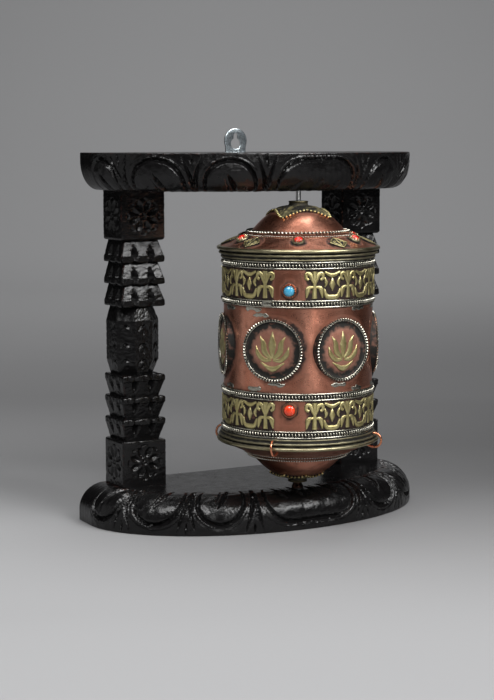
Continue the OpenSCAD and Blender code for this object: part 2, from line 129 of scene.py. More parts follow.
def ripple(points: Array, pitch: float, seed: int) -> Array:
    """Makes smooth unevenness, the same on every run.

    Args:
        points: Points in millimetres, one a row.
        pitch: Typical distance between two swells, in millimetres.
        seed: Number that picks the pattern.

    Returns:
        One value a point, mostly between -1 and 1.
    """
    rng = np.random.default_rng(seed)
    total = np.zeros(len(points))
    for _ in range(9):
        way = rng.normal(size=3)
        way /= np.linalg.norm(way)
        total += np.sin(points @ way * (2 * pi / (pitch * rng.uniform(0.6, 1.7))) + rng.uniform(0, 6.28))
    return total / 3.2


def uneven_round(points: Array, share: float, pitch: float, seed: int) -> Array:
    """Moves points in and out from the axis by a share of their radius, as handwork does."""
    return points * (1 + share * ripple(points, pitch, seed)[:, None] * [1, 1, 0])


def wall_place(turn: float, radius: float, height: float = 0.0) -> Placer:
    """Wraps a flat pattern round the drum's wall, u to the right, v up and h outwards.

    Args:
        turn: Angle of u = 0, in degrees from +X.
        radius: Radius of the wall.
        height: Height of v = 0.

    Returns:
        A function of u, v and h that gives points.
    """

    def place(u: Array, v: Array, h: Array) -> Array:
        return polar(radius + h, radians(turn) + u / radius, height + v)

    return place


def frame_axes(turn: float, lean: float) -> Axes:
    """Gives the right, up and outward directions of a small face on the drum.

    Args:
        turn: Angle of the face, in degrees from +X.
        lean: How far the face tips back from upright, in degrees.

    Returns:
        The three unit directions.
    """
    a, b = radians(turn), radians(lean)
    radial = np.array([cos(a), sin(a), 0.0])
    right = np.array([-sin(a), cos(a), 0.0])
    out = radial * cos(b) + np.array([0, 0, sin(b)])
    return right, np.cross(out, right), out


def plate_place(turn: float, reach: float, height: float, lean: float = 0.0) -> Placer:
    """Puts a flat pattern on a small flat face of the drum.

    Args:
        turn: Angle of the face, in degrees from +X.
        reach: Distance of the face's middle from the axis.
        height: Height of the face's middle.
        lean: How far the face tips back from upright, in degrees.

    Returns:
        A function of u, v and h that gives points.
    """
    right, up, out = frame_axes(turn, lean)
    a = radians(turn)
    middle = np.array([reach * cos(a), reach * sin(a), height])

    def place(u: Array, v: Array, h: Array) -> Array:
        return middle + u[..., None] * right + v[..., None] * up + (h + 0 * u)[..., None] * out

    return place


FLAT = plate_place(-90, 0, 0, 90)  # the level face that small parts are modelled on


@dataclass(frozen=True)
class Stroke:
    """A line with a width: a gouge's cut in wood, or a raised strip of ornament."""

    path: tuple[tuple[float, float], ...]
    half: tuple[float, ...] = (1.0,)
    size: float = 1.0

    def sampled(self, step: float = 1.0) -> tuple[Array, Array]:
        """Draws the stroke.

        Args:
            step: Distance between points.

        Returns:
            The points and the half width at each.
        """
        rough = np.linalg.norm(np.diff(np.asarray(self.path), axis=0), axis=1).sum()
        count = max(4, int(rough / step) + 1)
        half = self.half if len(self.half) > 1 else self.half * 2
        t = np.linspace(0, 1, count)
        return smooth_path(self.path, count), np.interp(t, np.linspace(0, 1, len(half)), half)

    def moved(self, u: float, v: float, turn: float = 0.0, scale: float = 1.0) -> "Stroke":
        """Returns the stroke scaled, turned by degrees and then shifted."""
        p = np.asarray(self.path, float) * scale
        c, s = cos(radians(turn)), sin(radians(turn))
        q = np.stack([p[:, 0] * c - p[:, 1] * s + u, p[:, 0] * s + p[:, 1] * c + v], -1)
        return replace(self, path=tuple(map(tuple, q)), half=tuple(h * scale for h in self.half))


def mirrored(*strokes: Stroke) -> list[Stroke]:
    """Returns the strokes on the left of the middle line and then on its right."""
    return [replace(k, path=tuple((side * u, v) for u, v in k.path)) for side in (-1, 1) for k in strokes]


def carve(u: Array, v: Array, strokes: Iterable[Stroke]) -> Array:
    """Works out how deep a set of gouge cuts goes.

    Args:
        u: Positions along the face.
        v: Positions across the face.
        strokes: The cuts, each as deep at its middle as its size.

    Returns:
        The depth at each position.
    """
    depth = np.zeros(np.shape(u))
    for stroke in strokes:
        p, w = stroke.sampled(1.6)
        reach = w.max() + 0.1
        near = (u > p[:, 0].min() - reach) & (u < p[:, 0].max() + reach)
        near &= (v > p[:, 1].min() - reach) & (v < p[:, 1].max() + reach)
        if not near.any():
            continue
        x, y = u[near], v[near]
        best = np.zeros(len(x))
        for (x0, y0), (x1, y1), w0, w1 in zip(p[:-1], p[1:], w[:-1], w[1:]):
            dx, dy = x1 - x0, y1 - y0
            t = np.clip(((x - x0) * dx + (y - y0) * dy) / max(dx * dx + dy * dy, 1e-9), 0, 1)
            d = np.hypot(x - x0 - t * dx, y - y0 - t * dy) / np.maximum(w0 + (w1 - w0) * t, 1e-3)
            share = (w0 + (w1 - w0) * t) / w.max()
            best = np.maximum(best, stroke.size * share * np.clip(1.0 - d, 0, 1) ** 0.8)
        depth[near] = np.maximum(depth[near], best)
    return depth


# ---------- meshes


def grid_faces(rows: int, cols: int, wrap_rows: bool = False, wrap_cols: bool = False) -> list[list[int]]:
    """Lists the quads of a grid of points.

    Args:
        rows: Number of rows.
        cols: Number of points in a row.
        wrap_rows: Whether the last row joins the first.
        wrap_cols: Whether a row's last point joins its first.

    Returns:
        The quads.
    """
    i = np.arange(rows if wrap_rows else rows - 1)[:, None]
    j = np.arange(cols if wrap_cols else cols - 1)[None, :]
    i2, j2 = (i + 1) % rows, (j + 1) % cols
    quads = np.stack([i * cols + j, i * cols + j2, i2 * cols + j2, i2 * cols + j], -1)
    return quads.reshape(-1, 4).tolist()


@dataclass
class Shape:
    """A mesh in the making: points in millimetres, faces, and a tone from 0, bright, to 1, dark with aging on
    some pieces and with painted shade on others.
    """

    points: list[Array] = field(default_factory=list)
    faces: list[list[int]] = field(default_factory=list)
    tones: list[Array] = field(default_factory=list)
    caps: list[list[list[int]]] = field(default_factory=list)
    count: int = 0

    def add(self, points: Array, faces: list[list[int]], tone: float | Array = 0.0) -> int:
        """Adds points and faces.

        Args:
            points: The points, in any grid.
            faces: Faces that count from the first of these points.
            tone: One tone, or one a point.

        Returns:
            The number of the first point in the whole shape.
        """
        flat = np.asarray(points, float).reshape(-1, 3)
        start = self.count
        self.points.append(flat)
        self.faces += (np.asarray(faces) + start).tolist() if faces and len({len(f) for f in faces}) == 1 \
            else [[i + start for i in f] for f in faces]
        self.tones.append(np.broadcast_to(np.asarray(tone, float).reshape(-1), len(flat)))
        self.count += len(flat)
        return start

    def revolve(self, profile: Sequence[Sequence[float]], steps: int = 128, tone: float | Array = 0.0,
                bend: Callable[[Array], Array] | None = None) -> None:
        """Turns a closed profile of radius and height round the axis.

        Args:
            profile: The profile's points, in order.
            steps: Number of steps round.
            tone: One tone, or one a profile point.
            bend: A change to the finished points.
        """
        p = np.asarray(profile, float)
        pts = polar(p[:, :1], full_turn(steps), p[:, 1:]).reshape(-1, 3)
        tone = np.repeat(np.broadcast_to(np.asarray(tone, float), len(p)), steps)
        self.add(bend(pts) if bend else pts, grid_faces(len(p), steps, True, True), tone)

    def ribbon(self, stroke: Stroke, place: Placer, base: float = 0.0, step: float = 0.9,
               edge_tone: float = 1.0) -> None:
        """Adds a raised strip with a rounded top along a stroke.

        Args:
            stroke: The stroke, as high at its middle as its size.
            place: Puts u, v and h on the surface.
            base: Height of the strip's foot over the surface.
            step: Distance between cross sections.
            edge_tone: Tone at the strip's foot.
        """
        p, w = stroke.sampled(step)
        way = np.gradient(p, axis=0)
        way /= np.maximum(np.linalg.norm(way, axis=1), 1e-9)[:, None]
        side = np.stack([-way[:, 1], way[:, 0]], -1)
        cols = np.array([[-1, 0], [-0.82, 0.72], [-0.3, 1], [0.3, 1], [0.82, 0.72], [1, 0]])
        q = p[:, None, :] + side[:, None, :] * (w[:, None] * cols[None, :, 0])[..., None]
        lift = np.minimum(1, w / max(w.max() * 0.5, 1e-6))[:, None] * cols[None, :, 1] * stroke.size
        pts = place(q[..., 0], q[..., 1], base + lift)
        n, m = len(p), len(cols)
        faces = grid_faces(n, m, False, True) + [list(range(m))[::-1], [(n - 1) * m + k for k in range(m)]]
        tone = np.tile(np.array([1, 0.5, 0, 0, 0.5, 1]) * edge_tone, n)
        self.add(pts, faces, tone)

    def dome(self, place: Placer, radius: float, rise: float, base: float = 0.0, sides: int = 24,
             rings: int = 6, tone: float = 0.0, power: float = 0.5) -> None:
        """Adds a closed round button.

        Args:
            place: Puts u, v and h on the surface.
            radius: Radius of its foot.
            rise: Height of its middle.
            base: Height of its foot.
            sides: Points round.
            rings: Rings from the edge to the middle.
            tone: Tone at the edge, which clears towards the middle.
            power: Roundness of its side.
        """
        a = full_turn(sides)
        f = np.r_[1.0, np.linspace(1.0, 0.0, rings + 1)[:-1]]
        h = np.r_[base, base + rise * (0.12 + 0.88 * (1 - f[1:] ** 2) ** power)]
        pts = place(radius * f[:, None] * np.cos(a), radius * f[:, None] * np.sin(a), h[:, None] + 0 * a)
        tip = place(np.zeros(1), np.zeros(1), np.full(1, base + rise))
        last = (len(f) - 1) * sides
        faces = grid_faces(len(f), sides, False, True)
        faces += [[last + k, last + (k + 1) % sides, last + sides] for k in range(sides)]
        faces.append(list(range(sides))[::-1])
        self.add(np.vstack([pts.reshape(-1, 3), tip]), faces, np.r_[np.repeat(tone * f**3, sides), 0.0])

    def make(self, name: str, angle: float = EDGE_ANGLE, turned: End = End.UPPER,
             middle: float = 0.0) -> Thing:
        """Turns the shape into an object at the origin.

        Args:
            name: The object's name.
            angle: Hard edge angle, in degrees.
            turned: LOWER turns the shape over.
            middle: Height that z = 0 is lifted to.

        Returns:
            The object.
        """
        co = np.vstack(self.points) * [1, 1, turned.value] + [0, 0, middle]
        mesh = bpy.data.meshes.new(name)
        mesh.from_pydata((co * MM).tolist(), [], self.faces)
        # the tone is stored per point: aging on some pieces, painted shade on others
        layer = mesh.attributes.new("patina", "FLOAT", "POINT")
        layer.data.foreach_set("value", np.concatenate(self.tones).astype(np.float32))
        work = bmesh.new()
        work.from_mesh(mesh)
        work.verts.ensure_lookup_table()
        for loops in self.caps:
            edges = []
            for loop in loops:
                for a, b in zip(loop, loop[1:] + loop[:1]):
                    pair = (work.verts[a], work.verts[b])
                    edges.append(work.edges.get(pair) or work.edges.new(pair))
            bmesh.ops.triangle_fill(work, edges=edges, use_beauty=True, use_dissolve=False)
        weld(work, mesh)
        return as_object(mesh, name, angle)


def weld(work: bmesh.types.BMesh, mesh: bpy.types.Mesh) -> None:
    """Merges doubled points, turns the faces outwards and writes the result to the mesh."""
    bmesh.ops.remove_doubles(work, verts=work.verts, dist=WELD_DISTANCE)
    bmesh.ops.recalc_face_normals(work, faces=work.faces)
    work.to_mesh(mesh)
    work.free()


def link(name: str, data: bpy.types.ID) -> Thing:
    """Makes an object of some data and links it to the scene."""
    obj = bpy.data.objects.new(name, data)
    bpy.context.scene.collection.objects.link(obj)
    return obj


def settled(obj: Thing) -> bpy.types.Mesh:
    """Returns an object's final mesh and removes the object."""
    depsgraph = bpy.context.evaluated_depsgraph_get()
    mesh = bpy.data.meshes.new_from_object(obj.evaluated_get(depsgraph))
    bpy.data.objects.remove(obj)
    return mesh


def as_object(mesh: bpy.types.Mesh, name: str, angle: float) -> Thing:
    """Links a mesh to the scene as a smooth object with its hard edges kept.

    Args:
        mesh: The mesh.
        name: The object's name.
        angle: Hard edge angle, in degrees.

    Returns:
        The object.
    """
    mesh.name = name
    mesh.shade_smooth()
    mesh.set_sharp_from_angle(angle=radians(angle))
    return link(name, mesh)


def join(name: str, parts: Sequence[Thing], angle: float = EDGE_ANGLE) -> Thing:
    """Joins plain mesh objects into one and removes them.

    Args:
        name: The new object's name.
        parts: The objects.
        angle: Hard edge angle, in degrees.

    Returns:
        The joined object.
    """
    work = bmesh.new()
    for part in parts:
        work.from_mesh(part.data)
    mesh = bpy.data.meshes.new(name)
    work.to_mesh(mesh)
    work.free()
    for part in parts:
        old = part.data
        bpy.data.objects.remove(part)
        bpy.data.meshes.remove(old)
    return as_object(mesh, name, angle)


def path_object(points: Array, closed: bool) -> Thing:
    """Makes a bare line of edges, in millimetres, for a tree to follow."""
    mesh = bpy.data.meshes.new("path")
    n = len(points)
    edges = [(i, (i + 1) % n) for i in range(n if closed else n - 1)]
    mesh.from_pydata((np.asarray(points, float) * MM).tolist(), edges, [])
    return link("path", mesh)


def circle_path(radius: float, height: float) -> Thing:
    """Makes a bare line round the axis, level at a height."""
    return path_object(polar(radius, full_turn(RING_STEPS), height), True)


# ---------- geometry node trees


class Wiring:
    """A node tree that is wired up from the script."""

    tree: bpy.types.NodeTree
    prefix = "ShaderNode"

    def add(self, kind: str, wires: dict[str | int, object] | None = None, **settings: object) -> Node:
        """Adds a node.

        Args:
            kind: Its type, without the tree's usual first word.
            wires: What its inputs take, by name or number: a socket, a node's first output, or a value.
            **settings: The node's own settings.

        Returns:
            The node.
        """
        whole = kind.startswith(("ShaderNode", "FunctionNode"))
        node = self.tree.nodes.new(kind if whole else self.prefix + kind)
        for key, value in settings.items():
            setattr(node, key, value)
        for key, value in (wires or {}).items():
            if isinstance(value, Node):
                value = value.outputs[0]
            if isinstance(value, Socket):
                self.tree.links.new(value, node.inputs[key])
            else:
                node.inputs[key].default_value = value
        return node


class Tree(Wiring):
    """A Geometry Nodes tree with named inputs."""

    prefix = "GeometryNode"

    def __init__(self, name: str, **inputs: float | str | None) -> None:
        """Makes the tree.

        Args:
            name: Its name.
            **inputs: Its inputs and their defaults: a float, an int, "Object" or "Material".
        """
        self.tree = bpy.data.node_groups.new(name, "GeometryNodeTree")
        face = self.tree.interface
        face.new_socket("Geometry", in_out="INPUT", socket_type="NodeSocketGeometry")
        for label, value in {**inputs, "Material": "Material"}.items():
            kind = value if isinstance(value, str) else "Int" if isinstance(value, int) else "Float"
            made = face.new_socket(label, in_out="INPUT", socket_type="NodeSocket" + kind)
            if not isinstance(value, str):
                made.default_value = value
        face.new_socket("Geometry", in_out="OUTPUT", socket_type="NodeSocketGeometry")
        self.source = self.tree.nodes.new("NodeGroupInput").outputs
        self.sink = self.tree.nodes.new("NodeGroupOutput").inputs

    def sum(self, operation: str, a: object, b: object = 0.0) -> Node:
        """Adds a maths node on two values."""
        return self.add("ShaderNodeMath", {0: a, 1: b}, operation=operation)

    def finish(self, geometry: Node) -> "Tree":
        """Ends the tree in real geometry with the tree's material, and returns it."""
        real = self.add("RealizeInstances", {0: geometry})
        dressed = self.add("SetMaterial", {"Geometry": real, "Material": self.source["Material"]})
        self.tree.links.new(dressed.outputs[0], self.sink[0])
        return self

    def grow(self, host: Thing, name: str, angle: float = 60.0, **values: object) -> Thing:
        """Runs the tree on an object and keeps the result as a plain mesh.

        Args:
            host: The object whose mesh the tree starts from; it is removed.
            name: Name of the new object.
            angle: Hard edge angle, in degrees.
            **values: The tree's inputs, by name.

        Returns:
            The new object.
        """
        worker = host.modifiers.new("grow", "NODES")
        worker.node_group = self.tree
        for item in self.tree.interface.items_tree:
            if item.item_type == "SOCKET" and item.in_out == "INPUT" and item.name in values:
                worker[item.identifier] = values[item.name]
        return as_object(settled(host), name, angle)


def wire_tree() -> Tree:
    """Builds the tree that runs a round wire along a path."""
    t = Tree("Wire along path", Radius=0.001, Sides=8)
    line = t.add("MeshToCurve", {0: t.source["Geometry"]})
    ring = t.add("CurvePrimitiveCircle", {"Resolution": t.source["Sides"], "Radius": t.source["Radius"]})
    return t.finish(t.add("CurveToMesh", {"Curve": line, "Profile Curve": ring, "Fill Caps": True}))


def bead_tree() -> Tree:
    """Builds the tree that strings slanted beads on a wire along a path."""
    t = Tree("Beads along path", Spacing=0.002, Bead=0.001, Stretch=1.4, Squash=0.6, Slant=0.5, Core=0.0005)
    line = t.add("MeshToCurve", {0: t.source["Geometry"]})
    level = t.add("SetCurveNormal", {0: line}, mode="Z_UP")
    spots = t.add("CurveToPoints", {0: level, "Length": t.source["Spacing"]}, mode="LENGTH")
    ball = t.add("MeshUVSphere", {"Segments": 7, "Rings": 5, "Radius": t.source["Bead"]})
    long = t.add("ShaderNodeCombineXYZ", {0: 1.0, 1: t.source["Stretch"], 2: t.source["Squash"]})
    lean = t.add("ShaderNodeCombineXYZ", {0: t.source["Slant"]})
    shaped = t.add("Transform", {"Geometry": ball.outputs[0], "Scale": long})
    tipped = t.add("Transform", {"Geometry": shaped, "Rotation": lean})
    beads = t.add("InstanceOnPoints", {"Points": spots.outputs[0], "Instance": tipped,
                                       "Rotation": spots.outputs["Rotation"]})
    ring = t.add("CurvePrimitiveCircle", {"Resolution": 6, "Radius": t.source["Core"]})
    wire = t.add("CurveToMesh", {"Curve": level, "Profile Curve": ring})
    # the wire core between the beads is stored fully dark: painted shade in the gaps
    core = t.add("StoreNamedAttribute", {"Geometry": wire, "Name": "patina", "Value": 1.0}, data_type="FLOAT",
                 domain="POINT")
    both = t.add("JoinGeometry")
    for part in (beads, core):
        t.tree.links.new(part.outputs[0], both.inputs[0])
    return t.finish(both)


def tooth_tree() -> Tree:
    """Builds the tree for a ring of small pointed teeth that lean over a stone."""
    t = Tree("Ring of teeth", Radius=0.004, Count=18, Width=0.0006, Rise=0.001, Lean=0.5)
    ring = t.add("MeshCircle", {"Vertices": t.source["Count"], "Radius": t.source["Radius"]})
    face = t.add("FunctionNodeAlignRotationToVector", {"Vector": t.add("InputPosition")}, axis="X")
    tip = t.sum("MULTIPLY", t.source["Width"], 0.35)
    cone = t.add("MeshCone", {"Vertices": 6, "Radius Bottom": t.source["Width"], "Radius Top": tip,
                              "Depth": t.source["Rise"]})
    lean = t.add("ShaderNodeCombineXYZ", {1: t.sum("MULTIPLY", t.source["Lean"], -1.0)})
    tipped = t.add("Transform", {"Geometry": cone.outputs[0], "Rotation": lean})
    return t.finish(t.add("InstanceOnPoints", {"Points": ring, "Instance": tipped, "Rotation": face}))


def copies_tree() -> Tree:
    """Builds the tree that sets a finished small part on marked spots."""
    t = Tree("Copies on spots", Part="Object")
    part = t.add("ObjectInfo", {0: t.source["Part"], "As Instance": True})
    mark = t.add("InputNamedAttribute", {"Name": "turn"}, data_type="FLOAT_VECTOR")
    turn = t.add("FunctionNodeEulerToRotation", {0: mark})
    return t.finish(t.add("InstanceOnPoints", {"Points": t.source["Geometry"],
                                               "Instance": part.outputs["Geometry"], "Rotation": turn}))


class Trees:
    """The trees, each made once and used for every piece that needs it."""

    def __init__(self) -> None:
        """Makes the trees."""
        self.wire, self.beads, self.teeth, self.copies = wire_tree(), bead_tree(), tooth_tree(), copies_tree()

    def ring_of_beads(self, name: str, radius: float, height: float, bead: float, spacing: float,
                      slant: float, material: Material, stretch: float = 1.35,
                      squash: float = 0.62) -> Thing:
        """Strings beads round the axis.

        Args:
            name: The object's name.
            radius: Radius of the string.
            height: Its height.
            bead: Radius of a bead.
            spacing: Distance from bead to bead.
            slant: How far a bead leans, in degrees.
            material: Its material.
            stretch: A bead's height over its depth.
            squash: Its width over its depth.

        Returns:
            The object.
        """
        around = 2 * pi * radius
        even = around / round(around / spacing)
        return self.beads.grow(circle_path(radius, height), name, Spacing=even * MM,
                               Bead=bead * MM, Stretch=stretch, Squash=squash,
                               Slant=radians(slant), Core=bead * 0.35 * MM, Material=material)

    def plain_ring(self, name: str, radius: float, height: float, wire: float, material: Material) -> Thing:
        """Bends a round wire into a level ring round the axis."""
        return self.wire.grow(circle_path(radius, height), name, Radius=wire * MM,
                              Sides=10, Material=material)

    def set_around(self, name: str, part: Thing, material: Material,
                   spots: Sequence[Spot], angle: float = 45.0) -> Thing:
        """Sets copies of a part, modelled with +Z outwards, on spots, and removes the part.

        Args:
            name: The new object's name.
            part: The part.
            material: Its material.
            spots: Each copy's place and its right, up and outward directions.
            angle: Hard edge angle, in degrees.

        Returns:
            The object that holds the copies.
        """
        points = path_object(np.array([place for place, _ in spots]), False)
        turns = [Matrix([list(row) for row in np.array(axes).T]).to_euler() for _, axes in spots]
        mark = points.data.attributes.new("turn", "FLOAT_VECTOR", "POINT")
        mark.data.foreach_set("vector", np.array([list(t) for t in turns], np.float32).reshape(-1))
        made = self.copies.grow(points, name, angle, Part=part, Material=material)
        bpy.data.objects.remove(part)
        return made


# ---------- finishes


class Paint(Wiring):
    """One material's nodes."""

    def __init__(self, name: str, stretch: Sequence[float] = (1, 1, 1), **plain: object) -> None:
        """Starts a material.

        Args:
            name: Its name.
            stretch: How its patterns are scaled along each axis.
            **plain: Values of the main shader's inputs, with _ for a space.
        """
        self.material = bpy.data.materials.new(name)
        self.material.use_nodes = True
        self.tree = self.material.node_tree
        self.main = next(n for n in self.tree.nodes if n.type == "BSDF_PRINCIPLED")
        for key, value in plain.items():
            self.main.inputs[key.replace("_", " ")].default_value = value
        self.space = self.add("TexCoord").outputs["Object"]
        self.stretched = self.add("Mapping", {0: self.space, "Scale": tuple(stretch)}).outputs[0]

    def noise(self, pitch: float, detail: float = 3.0, stretched: bool = False) -> Socket:
        """Adds a noise whose swells are about pitch millimetres apart."""
        where = self.stretched if stretched else self.space
        return self.add("TexNoise", {"Vector": where, "Scale": 1000.0 / pitch, "Detail": detail}).outputs[0]

    def range(self, value: object, low: float, high: float, start: float = 0.3, end: float = 0.7) -> Socket:
        """Spreads a value from start..end to low..high, held at the ends."""
        return self.add("MapRange", {0: value, 1: start, 2: end, 3: low, 4: high}).outputs[0]

    def sum(self, operation: str, a: object, b: object) -> Socket:
        """Adds a maths node whose result is held between 0 and 1."""
        return self.add("Math", {0: a, 1: b}, operation=operation, use_clamp=True).outputs[0]

    def mix(self, share: object, a: object, b: object) -> Socket:
        """Mixes two colours."""
        a = (*a, 1.0) if isinstance(a, tuple) else a
        b = (*b, 1.0) if isinstance(b, tuple) else b
        return self.add("Mix", {0: share, 6: a, 7: b}, data_type="RGBA").outputs[2]

    def bump(self, *layers: tuple[Socket, float]) -> None:
        """Adds bumps, each a height and its depth in millimetres, to the main shader."""
        below: dict[str | int, object] = {}
        for height, depth in layers:
            last = self.add("Bump", {"Height": height, "Distance": depth * MM, "Strength": 1.0, **below})
            below = {"Normal": last}
        self.tree.links.new(last.outputs[0], self.main.inputs["Normal"])

    def set(self, **wires: Socket) -> Material:
        """Wires the main shader's inputs, with _ for a space, and returns the material."""
        for key, value in wires.items():
            self.tree.links.new(value, self.main.inputs[key.replace("_", " ")])
        return self.material


@dataclass(frozen=True)
class Metal:
    """A metal that is bright where it is rubbed and dark where stains and aging have settled and where shade
    is painted.
    """

    name: str
    bright: Triple
    shade: Triple
    dark: Triple
    smooth: float = 0.25
    rough: float = 0.42
    blotch: float = 9.0
    spread: float = 0.35
    grain: float = 0.6
    relief: float = 0.02
    stretch: tuple[float, float, float] = (1, 1, 1)
    specks: float = 0.2

    def build(self) -> Material:
        """Makes the material: blotches of the shade colour, darkening by the tone attribute, which is aging
        on some pieces and painted shade on others, and fine grain.
        """
        p = Paint(self.name, self.stretch)
        cloud = p.noise(self.blotch, 4.0, True)
        fine = p.noise(self.grain, 3.0)
        # the tone attribute: aging on some pieces, painted shade on others
        darkening = p.add("Attribute", attribute_name="patina").outputs["Fac"]
        mottled = p.sum("MULTIPLY", darkening, p.range(p.noise(4.0, 2.5), 0.85, 1.3))
        stain = p.range(p.noise(self.blotch * 0.45, 5.0), 0.0, self.specks, 0.52, 0.75)
        # old sums the stains and the tone attribute, so it carries painted shade as well as aging
        old = p.sum("ADD", mottled, stain)
        cloudy = p.range(cloud, 0.0, 1.0, 0.5 - self.spread, 0.5 + self.spread)
        colour = p.mix(cloudy, self.bright, self.shade)
        darkened = p.mix(old, colour, self.dark)
        even = p.range(fine, self.smooth, self.rough)
        dull = p.sum("ADD", even, p.sum("MULTIPLY", old, 0.32))
        p.bump((p.noise(self.grain * 7, 3.0), self.relief * 2.5), (fine, self.relief))
        return p.set(Base_Color=darkened, Roughness=dull, Metallic=p.range(old, 1.0, 0.35, 0.35, 1.0))


@dataclass(frozen=True)
class Lacquer:
    """Glossy paint brushed thickly over carved wood."""

    name: str
    colour: Triple = (0.0032, 0.0030, 0.0031)
    worn: Triple = (0.030, 0.009, 0.006)

    def build(self) -> Material:
        """Makes the material: pebbly brush marks, wood grain below, and red-brown wear on the corners."""
        p = Paint(self.name, (0.16, 1.0, 1.0), Specular_IOR_Level=0.26, Coat_Weight=0.1, Coat_Roughness=0.08)
        pebble = p.noise(0.95, 2.5)
        board = p.add("Mapping", {0: p.space, "Location": (0.02, 0.05, 0.0), "Scale": (0.32, 1.0, 1.0)})
        rings = p.add("TexWave", {"Vector": board, "Scale": 62.0, "Distortion": 5.0, "Detail": 3.0,
                                  "Detail Scale": 1.2}, wave_type="RINGS", rings_direction="Z").outputs["Fac"]
        grain = p.noise(3.4, 5.0, True)
        brush = p.noise(7.5, 3.0)
        darkening = p.add("Attribute", attribute_name="patina").outputs["Fac"]
        wear = p.sum("MULTIPLY", darkening, p.range(p.noise(4.0, 4.0), 0.0, 1.0, 0.5, 0.66))
        tone = p.mix(p.range(grain, 0.0, 1.0, 0.35, 0.7), self.colour, tuple(c * 1.9 for c in self.colour))
        p.bump((brush, 0.2), (grain, 0.1), (rings, 0.05), (pebble, 0.17))
        return p.set(Base_Color=p.mix(wear, tone, self.worn), Roughness=p.range(brush, 0.15, 0.29))


@dataclass(frozen=True)
class Stone:
    """A polished cabochon with clouds and fine veins."""

    name: str
    colour: Triple
    deep: Triple
    vein: Triple

    def build(self) -> Material:
        """Makes the material: clouded colour, thin veins and a wet polish."""
        p = Paint(self.name, Coat_Weight=0.6, Coat_Roughness=0.06, Roughness=0.25, Subsurface_Weight=0.15,
                  Subsurface_Scale=0.002)
        cloud = p.mix(p.range(p.noise(3.0, 4.0), 0, 1, 0.35, 0.65), self.colour, self.deep)
        veins = p.add("TexVoronoi", {"Vector": p.space, "Scale": 420.0}, feature="DISTANCE_TO_EDGE")
        p.bump((p.noise(1.6), 0.02))
        return p.set(Base_Color=p.mix(p.range(veins, 0.5, 0.0, 0.0, 0.05), cloud, self.vein))


@dataclass(frozen=True)
class Fibre:
    """Paper or tape: layered lines across a soft mottled colour."""

    name: str
    colour: Triple
    deep: Triple
    pitch: float

    def build(self) -> Material:
        """Makes the material."""
        p = Paint(self.name, (1, 1, 8), Roughness=0.85, Sheen_Weight=0.2)
        lines = p.noise(self.pitch, 4.0, True)
        p.bump((lines, 0.08), (p.noise(0.5), 0.03))
        return p.set(Base_Color=p.mix(p.range(lines, 0, 1), self.colour, self.deep))


class Finishes:
    """Every finish on the object, made once and found by its material slot."""

    def __init__(self) -> None:
        """Makes the materials."""
        black: Triple = (0.010, 0.009, 0.007)
        soot: Triple = (0.020, 0.010, 0.008)
        made = (
            Lacquer("lacquered_wood"),
            Metal("copper", (0.76, 0.36, 0.25), (0.56, 0.20, 0.12), soot, 0.23, 0.34, 13, 0.3, 0.5, 0.006,
                  (1, 1, 0.12), 0.35),
            Metal("dark_copper", (0.80, 0.41, 0.30), (0.52, 0.23, 0.16), black, 0.32, 0.48, 6, 0.3, 0.5,
                  0.015),
            Metal("bezel_copper", (0.62, 0.30, 0.19), (0.35, 0.14, 0.08), black, 0.25, 0.4, 4),
            Metal("hook_copper", (0.85, 0.38, 0.22), (0.62, 0.22, 0.12), soot, 0.2, 0.34, 6),
            Metal("brass", (0.80, 0.71, 0.37), (0.52, 0.43, 0.17), black, 0.27, 0.45, 5, 0.3, 0.5, 0.025),
            Metal("rim_brass", (0.52, 0.47, 0.31), (0.22, 0.19, 0.10), black, 0.22, 0.4, 11, 0.3, 0.5, 0.02,
                  (1, 1, 3)),
            Metal("dark_brass", (0.16, 0.14, 0.08), (0.07, 0.055, 0.03), black, 0.3, 0.5, 5),
            Metal("foot_bead_brass", (0.05, 0.025, 0.018), (0.025, 0.012, 0.01), black, 0.2, 0.35, 3),
            Metal("white_metal", (0.62, 0.60, 0.52), (0.34, 0.32, 0.26), black, 0.18, 0.3, 6, 0.3, 0.5,
                  0.015),
            Metal("zinc", (0.68, 0.76, 0.80), (0.54, 0.61, 0.65), (0.1, 0.12, 0.13), 0.16, 0.3, 8, 0.4, 0.4,
                  0.006, (1, 1, 0.3), 0.1),
            Metal("spindle_steel", (0.74, 0.74, 0.73), (0.55, 0.55, 0.54), (0.05, 0.05, 0.05), 0.16, 0.3, 5,
                  0.3, 0.3, 0.004, (1, 1, 6), 0.1),
            Metal("screw_steel", (0.55, 0.55, 0.54), (0.32, 0.31, 0.30), (0.04, 0.03, 0.03), 0.24, 0.4, 4),
            Stone("turquoise", (0.085, 0.44, 0.66), (0.05, 0.32, 0.55), (0.02, 0.12, 0.17)),
            Stone("orange_coral", (0.90, 0.075, 0.018), (0.72, 0.045, 0.012), (0.35, 0.02, 0.01)),
            Stone("red_coral", (0.86, 0.025, 0.012), (0.62, 0.015, 0.01), (0.25, 0.01, 0.01)),
            Fibre("paper", (0.72, 0.62, 0.44), (0.50, 0.41, 0.27), 0.5),
            Fibre("cotton", (0.74, 0.70, 0.62), (0.60, 0.56, 0.47), 0.4),
        )
        self.by_slot = {finish.name: finish.build() for finish in made}

    def __getitem__(self, slot: str) -> Material:
        """Returns the material of a slot."""
        return self.by_slot[slot]


